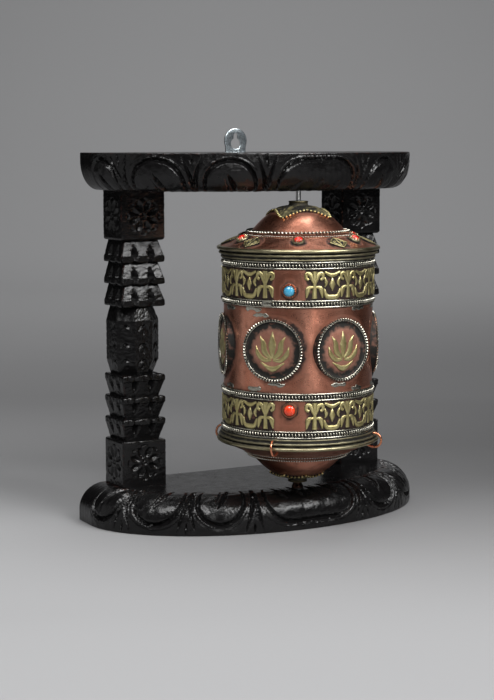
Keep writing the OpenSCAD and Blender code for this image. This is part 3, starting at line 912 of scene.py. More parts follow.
@dataclass
class Workshop:
    """What every class that builds pieces shares: the finishes, the trees and the list of pieces."""

    finishes: Finishes
    trees: Trees
    pieces: list[str] = field(default_factory=list)

    def deliver(self, obj: Thing, body: Body, slot: str, *nodes: str) -> None:
        """Dresses a piece, sets it on its body and hides the CAD nodes that it stands for.

        Args:
            obj: The finished piece.
            body: The body that it rides on.
            slot: Its material slot.
            *nodes: The CAD nodes that it stands for.
        """
        obj.data.materials.clear()
        obj.data.materials.append(self.finishes[slot])
        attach(obj, body.value)
        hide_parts(*nodes)
        self.pieces.append(obj.name)
        LOG.info("%s: %d faces, %s, on %s", obj.name, len(obj.data.polygons), slot, body.value)

    def dress_node(self, node: str, slot: str) -> None:
        """Gives a CAD node that stays its finish."""
        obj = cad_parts[node]
        if obj.material_slots:
            obj.material_slots[0].material = self.finishes[slot]
        else:
            obj.data.materials.append(self.finishes[slot])
        self.pieces.append(node)
        LOG.info("%s: kept from the CAD model, %s", node, slot)


def box_mm(node: str) -> tuple[Array, Array]:
    """Returns a CAD node's lowest and highest corners in millimetres."""
    low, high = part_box(node)
    return np.array(low) / MM, np.array(high) / MM


# ---------- the frame


def petal(left: float, right: float, foot: float, top: float, strokes: int = 1) -> list[Stroke]:
    """Cuts one petal: a deep U, a fine line outside it, and hooked cuts from its open side.

    Args:
        left: Left side, along the edge.
        right: Right side, along the edge.
        foot: Closed end, across the edge.
        top: Open end, across the edge.
        strokes: Number of hooked cuts.

    Returns:
        The cuts.
    """
    mid, half = (left + right) / 2, (right - left) / 2
    corner = min(half, 19.0)
    tall = corner * 1.02
    bend = [(left + corner + corner * cos(a), foot + tall + tall * sin(a))
            for a in np.radians(np.linspace(180, 270, 7))]
    side = [(left + 1.5, top + 1.5), (left - 0.2, top - 6)]
    arm = [*side, *bend, (mid, foot)] if half > corner + 1 else [*side, *bend]
    other = [(2 * mid - u, v) for u, v in arm[:-1]][::-1]
    u_line = tuple(arm + other)
    outer = tuple((mid + (u - mid) * (half + 3.4) / half, foot + (v - foot) - 3.0) for u, v in u_line)
    cuts = [Stroke(u_line, (1.0, 1.9, 2.1, 1.9, 1.0), 3.0), Stroke(outer, (0.2, 0.9, 1.0, 0.9, 0.2), 0.45)]
    for k in range(strokes):
        c = mid + (k - (strokes - 1) / 2) * (right - left - 16) / max(strokes, 1)
        lean, reach = (-1, 21.0) if strokes == 1 else (1, 15.0)
        hook = ((c - lean * 4.6, top + 2), (c - lean * 2.0, top - reach * 0.5), (c + lean * 3.0, top - reach))
        nick = ((c + lean * 1.5, top + 1), (c + lean * 2.0, top - reach * 0.4),
                (c + lean * 4.4, top - reach * 0.8))
        cuts += [Stroke(hook, (1.5, 1.9, 2.3, 1.7, 0.2), 3.0), Stroke(nick, (0.7, 0.8, 0.3), 1.0)]
    return cuts


def dart_pair(mid: float, foot: float, top: float, lean: float = 0.0) -> list[Stroke]:
    """Cuts the pair of grooves between two petals, close at the open side and apart at the closed one.

    Args:
        mid: Middle of the pair, along the edge.
        foot: Lower end, across the edge.
        top: Upper end, across the edge.
        lean: How far the pair leans.

    Returns:
        The cuts.
    """
    tip, level = (mid + lean, top + 1.5), (foot + top) / 2
    left = (tip, (mid - 2.2 + lean * 0.5, level + 1), (mid - 8.2, foot))
    right = (tip, (mid + 1.8 + lean * 0.5, level - 1), (mid + 6.5, foot))
    between = ((mid - 0.4, foot + 9.5), (mid - 1.2, foot - 1.0))
    return [Stroke(left, (1.9, 2.1, 1.6, 0.2), 3.1), Stroke(right, (1.2, 2.0, 1.5, 0.2), 2.9),
            Stroke(between, (0.2, 1.3, 0.2), 1.7)]


@dataclass
class CarvedBoard:
    """A D-shaped board whose rounded edge carries a row of carved petals."""

    shop: Workshop
    node: str
    round_in: float
    lip: float
    petals: tuple[tuple[float, float, int], ...]
    darts: tuple[tuple[float, float], ...]
    turned: End = End.UPPER
    holes: tuple[Triple, ...] = ()
    far_holes: tuple[Triple, ...] = ()
    curve_depth: float = 87.8
    back_taper: float = 1.1
    flat_run: float = 5.0
    step: float = 0.62
    seed: int = 3

    def outline(self, half: float, low: Array, high: Array) -> tuple[Array, Array, Array]:
        """Spreads columns along the board's plain outline.

        Args:
            half: Half the board's width.
            low: Lowest corner of its box.
            high: Highest corner of its box.

        Returns:
            The ellipse angle and the straight share of each column, and its place along the edge.
        """
        fine = np.linspace(pi, 2 * pi, 4001)
        curve_y = low[1] + self.curve_depth
        run = high[1] - curve_y
        steps = np.hypot(np.diff(half * np.cos(fine)), np.diff(self.curve_depth * np.sin(fine)))
        arc = np.r_[0, np.cumsum(steps)]
        s = np.linspace(-run, arc[-1] + run, int((arc[-1] + 2 * run) / self.step))
        angle = np.interp(s, arc, fine)
        straight = np.clip(-s / run, 0, 1) + np.clip((s - arc[-1]) / run, 0, 1)
        return angle, straight, s - arc[-1] / 2

    def build(self) -> None:
        """Builds the board and hands it in."""
        low, high = box_mm(self.node)
        half, thick = (high[0] - low[0]) / 2, high[2] - low[2]
        angle, straight, along = self.outline(half, low, high)
        curve_y = low[1] + self.curve_depth
        phi = np.linspace(0, pi / 2, 54)[1:]
        lip_rows = int(self.lip / 0.6)
        inset = np.r_[0.7, 0.2, 0, np.zeros(lip_rows), self.round_in * (1 - np.cos(phi)),
                      self.round_in + np.linspace(0, self.flat_run, 9)[1:]]
        z = np.r_[0, 0.2, 0.7, np.linspace(0.7, self.lip, lip_rows + 1)[1:],
                  self.lip + (thick - self.lip) * np.sin(phi), np.full(8, thick)]
        across = np.r_[0, np.cumsum(np.hypot(np.diff(inset), np.diff(z)))]
        i = inset[:, None]
        x = (half - i) * np.cos(angle) - np.sign(np.cos(angle)) * self.back_taper * straight
        bow = (self.curve_depth - i) * np.sin(angle) * (straight == 0)
        y = curve_y + bow + (high[1] - curve_y) * straight
        grid = np.stack([x, y + 0 * x, z[:, None] + 0 * x], -1)
        across_len = across[-1] - self.flat_run
        du, dv = np.gradient(grid, axis=1), np.gradient(grid, axis=0)
        out = np.cross(du, dv)
        out /= np.maximum(np.linalg.norm(out, axis=-1), 1e-9)[..., None]
        u = along[None, :] + 0 * x
        v = across[:, None] + 0 * x
        cuts: list[Stroke] = []
        for left, right, hooks in self.petals:
            cuts += petal(left, right, self.lip - 0.6, across_len, hooks)
        for mid, lean in self.darts:
            cuts += dart_pair(mid, 1.5, across_len, lean)
        depth = carve(u, v, cuts)
        swell = np.zeros_like(depth)
        for left, right, _ in self.petals:
            fu = np.clip((u - left) / (right - left), 0, 1)
            fv = np.clip((v - self.lip) / (across_len - self.lip), 0, 1)
            swell += 1.1 * (4 * fu * (1 - fu)) ** 0.6 * (4 * fv * (1 - fv)) ** 0.7
        flat = grid.reshape(-1, 3)
        broad, small, tool = (ripple(flat, pitch, self.seed + k).reshape(depth.shape)
                              for k, pitch in enumerate((7.0, 2.6, 1.7)))
        uneven = 0.13 * broad + 0.05 * small
        uneven = uneven + 0.3 * np.clip(depth, 0, 1) * tool
        calm = np.clip(straight * 6, 0, 1)[None, :]
        fade = np.clip((across[-1] - v) / 2.5, 0, 1) * np.clip(v / 2.0, 0, 1) * (1 - calm)
        push = (swell * 0.42 - depth + uneven) * fade
        grid = grid + out * push[..., None]
        rows, cols = depth.shape
        shape = Shape()
        worn = (np.abs(v - across_len) < 2.5) * 0.7 + (v < 1.2) * 0.5
        start = shape.add(grid, grid_faces(rows, cols), worn.reshape(-1))
        number = start + np.arange(rows * cols).reshape(rows, cols)
        shape.caps.append([number[:, 0].tolist() + number[::-1, -1].tolist()])
        shape.caps.append([number[-1].tolist()] + [self.hole(shape, h, thick, -1.0) for h in self.holes])
        shape.caps.append([number[0].tolist()] + [self.hole(shape, h, 0.0, 1.0) for h in self.far_holes])
        made = shape.make(self.node + "_carved", CARVED_ANGLE, self.turned, self.turned.pick(low[2], high[2]))
        self.shop.deliver(made, Body.FRAME, "lacquered_wood", self.node)

    @staticmethod
    def hole(shape: Shape, spot: Triple, level: float, way: float, depth: float = 6.0,
             sides: int = 40) -> list[int]:
        """Sinks a blind round hole.

        Args:
            shape: The board's shape.
            spot: The hole's x, y and radius.
            level: Height of its mouth.
            way: 1 if it goes up, -1 if it goes down.
            depth: Its depth.
            sides: Number of points round it.

        Returns:
            The loop of points at its mouth.
        """
        x, y, r = spot
        rings = [polar(r, full_turn(sides), level + way * d) + [x, y, 0] for d in (0, depth)]
        start = shape.add(np.array(rings), grid_faces(2, sides, False, True))
        shape.caps.append([list(range(start + sides, start + 2 * sides))])
        return list(range(start, start + sides))


@dataclass
class CarvedPost:
    """A post with carved blocks, flaring tiers and an eight-sided barrel."""

    shop: Workshop
    node: str
    foot_block: float = 34.0
    top_block: float = 36.4
    tier: float = 16.2
    lip: float = 4.6
    waist: float = 3.8
    barrel_chamfer: float = 10.4
    back_chamfer: float = 3.0
    edge: float = 0.9
    face_points: int = 32
    corner_points: int = 14
    row_step: float = 0.64
    seed: int = 21

    def rows(self, height: float) -> Array:
        """Lists the post's levels.

        Args:
            height: The post's height.

        Returns:
            One row a level: height, inset, corner chamfer, and scallop weight.
        """
        out: list[tuple[float, float, float, float]] = []

        def run(z0: float, z1: float, i0: float, i1: float, corner: float, w0: float = 0.0,
                w1: float = 0.0) -> None:
            """Adds evenly spaced levels between two heights."""
            count = max(2, int(round((z1 - z0) / self.row_step)) + 1)
            for t in np.linspace(0, 1, count):
                out.append((z0 + (z1 - z0) * t, i0 + (i1 - i0) * t, corner, w0 + (w1 - w0) * t))

        e, z = self.edge, self.foot_block
        run(0, z - 1.2, 0, 0, e)
        out += [(z - 0.4, 0.4, e, 0), (z, 1.3, e, 0)]
        for _ in range(3):
            out.append((z + 0.01, self.waist, e, 0))
            run(z + 0.3, z + self.tier - self.lip, self.waist, 0.4, e)
            run(z + self.tier - self.lip + 0.3, z + self.tier - 0.9, 0.1, 0, e, 0.2, 0.9)
            out += [(z + self.tier - 0.2, 0.5, e, 1), (z + self.tier, 1.2, e, 1)]
            z += self.tier
        barrel = height - self.top_block - 3 * self.tier
        c, flare = self.barrel_chamfer, (barrel - z) * 0.2
        run(z + 0.01, z + flare, self.waist, 0.6, c)
        run(z + flare + 0.3, barrel - flare - 0.3, 0.5, 0.5, c)
        run(barrel - flare, barrel, 0.6, self.waist, c)
        z = barrel
        for _ in range(3):
            out += [(z + 0.01, 1.0, e, -1), (z + 0.2, 0.4, e, -1)]
            run(z + 0.9, z + self.lip, 0, 0.1, e, -0.9, -0.2)
            run(z + self.lip + 0.3, z + self.tier, 0.4, self.waist, e)
            z += self.tier
        out += [(z + 0.01, 2.2, e, 0), (z + 0.3, 1.0, e, 0), (z + 1.0, 0.3, e, 0)]
        run(z + 1.8, height, 0, 0, e)
        return np.array(out)

    def cuts(self, height: float, width: float) -> list[Stroke]:
        """Lists the gouge cuts on one face.

        Args:
            height: The post's height.
            width: The face's width.

        Returns:
            The cuts, with u from the face's middle and v the height.
        """
        made: list[Stroke] = []
        ray = Stroke(((0, 3.4), (0, 7.0), (0, 10.6)), (0.3, 1.7, 2.3, 1.6), 1.9)
        tip = Stroke(((-2.6, 12.0), (0, 13.0), (2.6, 12.0)), (0.3, 0.8, 0.3))
        eye = np.linspace(0, 6.28, 9)
        for middle in (self.foot_block / 2 + 0.5, height - self.top_block / 2 - 0.5):
            for k in range(8):
                made += [ray.moved(0, middle, 45 * k + 22.5), tip.moved(0, middle, 45 * k)]
            ring = tuple((1.6 * cos(a), middle + 1.6 * sin(a)) for a in eye)
            made.append(Stroke(ring, (0.7,), 0.9))
        notch = width * 0.187
        for k in range(3):
            base = self.foot_block + (k + 1) * self.tier
            upper = height - self.top_block - (3 - k) * self.tier
            for u in (-notch, notch):
                for level, way in ((base, -1), (upper, 1)):
                    made.append(Stroke(((u, level + way * 13.2), (u, level + way * 6.2)), (0.2, 3.1), 4.4))
                    made.append(Stroke(((u, level + way * 5.0), (u, level)), (1.4, 1.0), 1.5))
            for u in (-2 * notch + 0.6, 0.0, 2 * notch - 0.6):
                made.append(Stroke(((u, base - 4.0), (u, base - 1.2)), (0.2, 0.8), 0.8))
        return made

    def barrel(self, height: float) -> tuple[float, float]:
        """Returns the heights of the barrel's two ends."""
        return self.foot_block + 3 * self.tier, height - self.top_block - 3 * self.tier

    def crescents(self, height: float) -> list[Stroke]:
        """Lists the small arched cuts on one side of the barrel."""
        low, high = self.barrel(height)
        arch = Stroke(((-3.6, -1.5), (-2.2, 1.2), (0, 2.2), (2.2, 1.2), (3.6, -1.5)),
                      (0.2, 0.9, 1.15, 0.9, 0.2), 1.5)
        drop = Stroke(((0, -1.1), (0, 1.0)), (0.8, 0.3), 0.9)
        levels = [low + (high - low) * f for f in (0.17, 0.40, 0.67)]
        return [arch.moved(0, v, 0, 11.0 / 9.5) for v in levels] + [drop.moved(0, v - 2.2) for v in levels]

    def build(self) -> None:
        """Builds the post and hands it in."""
        low, high = box_mm(self.node)
        size, middle = high - low, (high + low) / 2
        level = self.rows(size[2])
        z, inset, corner, scallop = (level[:, k][:, None] for k in range(4))
        half_x, half_y = size[0] / 2 - inset, size[1] / 2 - inset
        back = size[1] / 2 + 0 * inset
        rear = np.where(corner > 4, self.back_chamfer, corner)
        ends = (((corner - half_x, -half_y), (half_x - corner, -half_y)),
                ((half_x, corner - half_y), (half_x, back - rear)),
                ((half_x - rear, back), (rear - half_x, back)),
                ((-half_x, back - rear), (-half_x, corner - half_y)))
        widths = (size[0], size[1], 0.0, size[1])
        blocks = []
        for k in range(4):
            a = radians(-90 + 90 * k)
            out, way = np.array([cos(a), sin(a)]), np.array([-sin(a), cos(a)])
            start, stop = (np.concatenate(e, 1)[:, None, :] for e in ends[k])
            t = np.linspace(0, 1, self.face_points)[None, :, None]
            p = start + (stop - start) * t
            u = p @ way
            depth = self.face_depth(u, z, size[2], widths[k]) if widths[k] else 0 * u
            lobes = 1 - np.abs(np.cos(pi * u / (max(widths[k], 1.0) * 0.375))) ** 0.5
            weight = scallop if widths[k] else 0 * scallop
            blocks.append((p - out * depth[..., None], z - 1.5 * lobes * weight, depth))
            after = np.concatenate(ends[(k + 1) % 4][0], 1)[:, None, :]
            f = np.linspace(0, 1, self.corner_points + 2)[None, 1:-1, None]
            p = stop + (after - stop) * f
            diagonal = (out + way) / math.sqrt(2)
            g = (f[..., 0] - 0.5) * math.sqrt(2) * corner
            front = k in (0, 3)
            arches = carve(g, z + 0 * g, self.crescents(size[2])) if front else 0 * g
            cut = np.where(corner > 4, arches, 0.0)
            blocks.append((p - diagonal * cut[..., None], z - 1.5 * weight + 0 * g, cut))
        xy = np.concatenate([b[0] for b in blocks], 1)
        zz = np.concatenate([b[1] + 0 * b[0][..., 0] for b in blocks], 1)
        depth = np.concatenate([b[2] + 0 * b[0][..., 0] for b in blocks], 1)
        grid = np.concatenate([xy, zz[..., None]], -1)
        grid += np.array([middle[0], middle[1], low[2]])
        rows, cols = zz.shape
        flat = grid.reshape(-1, 3)
        away = flat[:, :2] - middle[:2]
        away /= np.linalg.norm(away, axis=1)[:, None]
        swell = 0.14 * ripple(flat, 6.0, self.seed) + 0.08 * ripple(flat, 2.3, self.seed + 1)
        keep = np.repeat(np.clip(np.minimum(level[:, 0], size[2] - level[:, 0]) / 2, 0, 1), cols)
        flat[:, :2] -= away * (np.abs(swell) * keep)[:, None]
        marks = [[float(k % 2)] * b[0].shape[1] for k, b in enumerate(blocks)]
        corner_mark = np.tile(np.concatenate(marks), rows)
        tiers = np.repeat((level[:, 2] < 4).astype(float), cols)
        shape = Shape()
        shape.add(flat, grid_faces(rows, cols, False, True), corner_mark * tiers * 0.5)
        shape.caps.append([list(range(cols))])
        shape.caps.append([[(rows - 1) * cols + c for c in range(cols)]])
        made = shape.make(self.node + "_carved", CARVED_ANGLE)
        self.shop.deliver(made, Body.FRAME, "lacquered_wood", self.node)

    def face_depth(self, u: Array, z: Array, height: float, width: float) -> Array:
        """Works out the cuts' depth over one face.

        Args:
            u: Positions across the face.
            z: Heights.
            height: The post's height.
            width: The face's width.

        Returns:
            The depth at each position.
        """
        v = z + 0 * u
        low, high = self.barrel(height)
        plain = carve(u, v, self.cuts(height, width))
        arched = carve(u, v, self.crescents(height))
        return np.where((v > low) & (v < high), arched, plain)


@dataclass
class Screws:
    """Countersunk cross-head screws."""

    shop: Workshop
    node: str
    spots: tuple[Triple, ...]
    out: Triple
    head: float
    shank: float
    length: float
    slot: str
    pitch: float = 1.6
    sides: int = 32

    def build(self) -> None:
        """Builds one screw, sets copies of it and hands them in."""
        shape = Shape()
        threads = int((self.length - 6) / self.pitch)
        profile = [(0.001, 0.02), (self.head * 0.9, -0.05), (self.head, -0.3), (self.head, -0.8),
                   (self.shank, -0.8 - self.head + self.shank)]
        for k in range(threads):
            z = -self.head - 1.0 - self.pitch * k
            profile += [(self.shank, z - 0.3), (self.shank - 0.35, z - 0.9)]
        p = np.array(profile + [(0.001, -self.length)])
        points = polar(p[:, :1], full_turn(self.sides), p[:, 1:])
        shape.add(points, grid_faces(len(p), self.sides, False, True))
        for turn in (0.0, 90.0):
            c, s = cos(radians(turn + 20)), sin(radians(turn + 20))
            w, r = self.head * 0.11, self.head * 0.55
            x = np.array([-r, r, r, -r, -r, r, r, -r])
            y = np.array([-w, -w, w, w, -w, -w, w, w])
            h = np.array([0.07] * 4 + [-0.4] * 4)
            quads = [[0, 1, 2, 3], [7, 6, 5, 4], [0, 4, 5, 1], [1, 5, 6, 2], [2, 6, 7, 3], [3, 7, 4, 0]]
            shape.add(np.stack([x * c - y * s, x * s + y * c, h], -1), quads, 1.0)
        out, right = np.array(self.out), np.array([1.0, 0, 0])
        spots = [(np.array(s), (right, np.cross(out, right), out)) for s in self.spots]
        made = self.shop.trees.set_around(self.node + "_turned", shape.make("screw", 40),
                                          self.shop.finishes[self.slot], spots, 40)
        self.shop.deliver(made, Body.FRAME, self.slot, self.node)


@dataclass
class Hanger:
    """The zinc keyhole plate on the frame's back."""

    shop: Workshop
    width: float = 19.2
    up: float = 17.8
    hole: float = 4.2
    hole_up: float = 6.2
    slot_half: float = 1.8
    slot_up: float = 12.4
    bevel: float = 0.38
    foot: float = -20.0
    corner: float = 3.0
    screw_r: float = 1.9
    screw_levels: tuple[float, float] = (-6.0, -14.5)

    def outline(self) -> list[tuple[float, float]]:
        """Returns the plate's outline: a round head on a slightly narrower shank with rounded corners."""
        r = self.width / 2
        head = self.up - r
        half = r - 1.0
        pts = [(r * cos(a), head + r * sin(a)) for a in np.radians(np.linspace(-22, 202, 60))]
        c, low = self.corner, self.foot + self.corner
        bend = np.radians(np.linspace(15, 90, 6))
        left = [(-half, head - 6.0), (-half, low)]
        left += [(-half + c - c * cos(a), low - c * sin(a)) for a in bend]
        return pts + left + [(-x, z) for x, z in reversed(left)]

    def keyhole(self) -> list[tuple[float, float]]:
        """Returns the keyhole's outline: a round hole with a slot above it."""
        w = self.slot_half
        meet = math.acos(w / self.hole)
        low = [(self.hole * cos(a), self.hole_up + self.hole * sin(a))
               for a in np.linspace(pi - meet, 2 * pi + meet, 44)]
        top = [(w * cos(a), self.slot_up + w * sin(a)) for a in np.linspace(0, pi, 18)]
        return low + top

    def build(self) -> None:
        """Builds the plate and hands it in."""
        low, high = box_mm("hanger_plate")
        board_top = high[2] - self.up
        curve = bpy.data.curves.new("hanger", "CURVE")
        curve.dimensions, curve.fill_mode = "2D", "BOTH"
        curve.bevel_depth, curve.offset, curve.bevel_resolution = self.bevel * MM, -self.bevel * MM, 3
        curve.extrude = ((high[1] - low[1]) / 2 - self.bevel) * MM
        r = self.screw_r
        screw = [[(r * cos(a), z + r * sin(a)) for a in full_turn(24)] for z in self.screw_levels]
        for loop in (self.outline(), self.keyhole(), *screw):
            line = curve.splines.new("POLY")
            line.points.add(len(loop) - 1)
            line.points.foreach_set("co", np.array([(x * MM, z * MM, 0, 1) for x, z in loop]).reshape(-1))
            line.use_cyclic_u = True
        mesh = settled(link("hanger", curve))
        centre = Matrix.Translation((0, (low[1] + high[1]) / 2 * MM, board_top * MM))
        mesh.transform(centre @ Matrix.Rotation(pi / 2, 4, "X"))
        work = bmesh.new()
        work.from_mesh(mesh)
        weld(work, mesh)
        self.shop.deliver(as_object(mesh, "hanger_plate_pressed", 50), Body.FRAME, "zinc", "hanger_plate")


# ---------- the drum


@dataclass
class DrumEnd:
    """Sizes of the drum and of its lid, counted from the middle of its wall."""

    middle: float
    wall_r: float
    half_h: float
    sheet: float = 0.8
    rim_r: float = 59.2
    flange_z: float = 70.6
    flange_r: float = 57.0
    dome_z: float = 80.8
    dome_r: float = 34.4
    dome_h: float = 18.6
    neck_r: float = 7.2
    power: float = 2.35

    @property
    def dome_top(self) -> float:
        """Height of the dome's top."""
        return self.dome_z + self.dome_h

    @property
    def cone_lean(self) -> float:
        """Steepness of the cone, in degrees."""
        return math.degrees(math.atan((self.dome_z - self.flange_z) / (self.flange_r - self.dome_r)))

    def height(self, r: Array) -> Array:
        """Returns the lid's height over the middle at each radius."""
        r = np.asarray(r, float)
        edge = self.dome_r**self.power
        dome = self.dome_z + self.dome_h * (edge - r**self.power) / (edge - self.neck_r**self.power)
        cone = self.flange_z + (self.flange_r - r) * math.tan(radians(self.cone_lean))
        return np.where(r < self.dome_r, np.minimum(dome, self.dome_top), cone)

    def on_lid(self, turn: float, r: float, lift: float) -> Spot:
        """Returns a place on the lid's cone and its right, uphill and outward directions."""
        axes = frame_axes(turn, 90 - self.cone_lean)
        a = radians(turn)
        point = np.array([r * cos(a), r * sin(a), float(self.height(r))])
        return point + axes[2] * lift + [0, 0, self.middle], axes


@dataclass
class Drum:
    """The turning drum: copper wall, lid and pan, brass ornament, wires, medallions and stones."""

    shop: Workshop
    size: DrumEnd
    bead_heights: tuple[float, float] = (59.7, 32.8)
    band_mid: float = 46.25
    stone_mid: float = 42.05
    band_h: float = 21.1
    medal_r: float = 22.5
    medal_out: float = 1.6
    medals: tuple[float, ...] = (-140, -86, -24, 37, 98, 159)
    blue_start: float = -127.5
    coral_start: float = -127.0
    lid_start: float = -121.0
    leaves: tuple[float, ...] = (-163, -86, -35, 27, 87, 151)
    crown_start: float = -148.0
    hook_start: float = -138.0
    lap_turn: float = -144.0
    stone_r: float = 4.1
    lid_stone_r: float = 3.5
    lid_stone_reach: float = 45.7
    leaf_reach: float = 48.8
    band_patterns: int = 7
    hooks: int = 4
    hook_wire: float = 0.82

    def hand_in(self, shape: Shape, name: str, slot: str, node: str, end: End = End.UPPER,
                angle: float = EDGE_ANGLE) -> None:
        """Makes a shape that is counted from the drum's middle and hands it in."""
        self.shop.deliver(shape.make(name, angle, end, self.size.middle), Body.DRUM, slot, node)

    def set_out(self, name: str, part: Thing, slot: str, spots: Sequence[Spot], node: str) -> None:
        """Sets copies of a part on spots and hands them in."""
        made = self.shop.trees.set_around(name, part, self.shop.finishes[slot], spots)
        self.shop.deliver(made, Body.DRUM, slot, node)

    def build(self) -> None:
        """Builds every piece of the drum."""
        self.build_wall()
        for end in End:
            self.build_lid(end)
            self.build_rim(end)
            self.build_collar(end)
            self.build_rope(end)
        self.build_crown(End.UPPER, 25.6, 17.6, 4, "top_crown")
        self.build_crown(End.LOWER, 20.6, 17.6, 8, "bottom_crown")
        self.build_bead_wires()
        self.build_band("upper_band", self.blue_start, self.band_mid, self.stone_mid)
        self.build_band("lower_band", self.coral_start, -self.band_mid, -self.stone_mid)
        self.build_stones()
        self.build_lid_ornament()
        self.build_medallions()
        self.build_hooks()
        for node, slot in (("core_tube", "brass"), ("upper_bush", "brass"), ("lower_bush", "brass"),
                           ("prayer_roll", "paper"), ("roll_ties", "cotton")):
            self.shop.dress_node(node, slot)

    def wall_painted_shade(self, turn: Array, z: Array) -> Array:
        """Works out the painted shade on the copper wall.

        Args:
            turn: Angles in radians.
            z: Heights over the wall's middle.

        Returns:
            The tone at each place.
        """
        # painted shade next to the inner bead wires, and full dark beyond them, under the bands
        wires = np.exp(-np.maximum(0, self.bead_heights[1] - 2.6 - np.abs(z)) / 1.6) * 0.75
        darkening = np.where(np.abs(z) < self.bead_heights[1], wires, 1.0)
        # a painted shadow round each medallion, wider and darker on the side of increasing angle
        for medal in self.medals:
            gap = (turn - radians(medal) + pi) % (2 * pi) - pi
            d = np.hypot(gap * self.size.wall_r, z)
            side = 0.75 + 0.25 * np.tanh(gap * self.size.wall_r / 12)
            darkening = np.maximum(darkening, np.clip(1.15 - (d - self.medal_r) / (4.6 * side), 0, 1) * 0.92 * side)
        return darkening

    def build_wall(self) -> None:
        """Builds the copper wall, slightly uneven as beaten sheet is."""
        s, shape = self.size, Shape()
        steps, rows = 288, 96
        z = np.linspace(-s.half_h, s.half_h, rows)
        a = full_turn(steps)
        turn, height = np.meshgrid(a, z)
        flat = polar(s.wall_r, turn, height).reshape(-1, 3)
        dent = np.abs(0.10 * ripple(flat, 26.0, 4) + 0.05 * ripple(flat, 11.0, 5)).reshape(turn.shape)
        ends = [polar(s.wall_r - s.sheet, a, h) for h in (s.half_h, -s.half_h)]
        pts = np.concatenate([polar(s.wall_r - dent, turn, height), np.array(ends)])
        tone = np.concatenate([self.wall_painted_shade(turn, height), np.full((2, steps), 0.5)])
        shape.add(pts, grid_faces(rows + 2, steps, True, True), tone.reshape(-1))
        self.hand_in(shape, "drum_wall", "copper", "drum_shell")

    def build_lid(self, end: End) -> None:
        """Builds the lid or the pan: cone and dome in one spun sheet."""
        s, shape = self.size, Shape()
        radii = np.r_[np.linspace(5.0, s.neck_r, 3), np.linspace(s.neck_r + 0.8, s.dome_r - 1.2, 26),
                      np.linspace(s.dome_r - 0.6, s.dome_r + 0.9, 6),
                      np.linspace(s.dome_r + 1.8, s.flange_r, 22)]
        high = s.height(radii)
        skirt_r = s.wall_r - s.sheet - 0.1
        edge = [(s.flange_r, s.half_h + 0.01), (skirt_r, s.half_h + 0.01), (skirt_r, s.half_h - 6),
                (skirt_r - s.sheet, s.half_h - 6), (skirt_r - s.sheet, s.half_h)]
        outer = np.stack([radii, high], -1)
        inner = outer[::-1][3:-1] - [0, s.sheet]
        profile = np.vstack([outer, edge, inner, [[5.0, high[0] - s.sheet]]])
        steps = 224
        n, m = len(outer), len(profile)
        pts = polar(profile[:, :1], full_turn(steps), profile[:, 1:])
        dent = np.abs(0.09 * ripple(pts[:n].reshape(-1, 3), 14.0, 8).reshape(n, steps))
        pts[:n, :, 2] -= dent * (radii > 10)[:, None]
        tone = np.full((m, steps), 0.6)
        ring = np.exp(-np.abs(radii - s.dome_r - 1.8) / 1.7) * 0.85
        skirt = np.exp(-(s.flange_r - radii) / 1.2) * 0.5
        crown = np.clip((23.0 - radii) / 5.0, 0, 0.8)
        tone[:n] = np.maximum(np.maximum(ring, skirt), crown)[:, None]
        if end is End.UPPER:
            spots = [(self.lid_start + 60 * k, self.lid_stone_reach, 5.4, 2.2) for k in range(6)]
            spots += [(t, self.leaf_reach - 0.2, 7.8, 2.6) for t in self.leaves]
            for turn, r, size, soft in spots:
                x, y = r * cos(radians(turn)), r * sin(radians(turn))
                d = np.hypot(pts[:n, :, 0] - x, pts[:n, :, 1] - y)
                tone[:n] = np.maximum(tone[:n], np.clip(1 - (d - size) / soft, 0, 0.85))
        else:
            tone[:n] = np.maximum(tone[:n], 0.15)
        shape.add(pts, grid_faces(m, steps, True, True), tone.reshape(-1))
        name, node = end.pick(("lid_sheet", "top_lid"), ("pan_sheet", "bottom_pan"))
        self.hand_in(shape, name, "copper", node, end, 30)

    def build_rim(self, end: End) -> None:
        """Builds a rolled rim: a lip, a wide roll and a thin roll on a sleeve."""
        s, shape = self.size, Shape()
        start = s.wall_r + 0.05
        rolls = ((s.rim_r - 2.0, s.flange_z - 1.0, 2.0, 1.5), (s.rim_r - 3.3, s.flange_z - 4.3, 1.75, 1.15),
                 (start + 0.9, s.flange_z - 7.1, 1.15, 0.9))
        t = full_turn(20)
        for k, (r, z, wide, tall) in enumerate(rolls):
            profile = np.stack([r + wide * np.cos(t), z + tall * np.sin(t)], -1)
            # painted shade: each roll is light on its outer face and dark on its top, bottom and inner side,
            # where the rolls touch
            tone = np.clip(np.abs(np.sin(t)) * 1.25 - 0.3, 0, 1) * 0.9
            tone = np.where(np.cos(t) < -0.3, 1.0, tone)
            # the lip's top is left light towards the outside, as a painted highlight; the two lower rolls are
            # painted darker all over, as shade under the lip
            if k == 0:
                tone = np.where(np.sin(t) > 0, np.clip(-np.cos(t), 0, 1) * 0.7, tone)
            else:
                tone = np.clip(tone + 0.28, 0, 1)
            shape.revolve(profile, 240, tone, lambda q, k=k: uneven_round(q, 0.0022, 17.0, 30 + k))
        sleeve = [(start, s.flange_z - 8), (start + 1.5, s.flange_z - 8), (start + 1.9, s.flange_z - 2),
                  (s.rim_r - 2.6, s.flange_z - 1.2), (s.flange_r + 0.05, s.flange_z - 0.2),
                  (s.flange_r + 0.05, s.half_h), (start, s.half_h - 0.1)]
        # the sleeve behind the rolls is painted fully dark as shade
        shape.revolve(sleeve, 240, 1.0)
        node = end.pick("upper_rim", "lower_rim")
        self.hand_in(shape, node + "_rolled", "rim_brass", node, end)

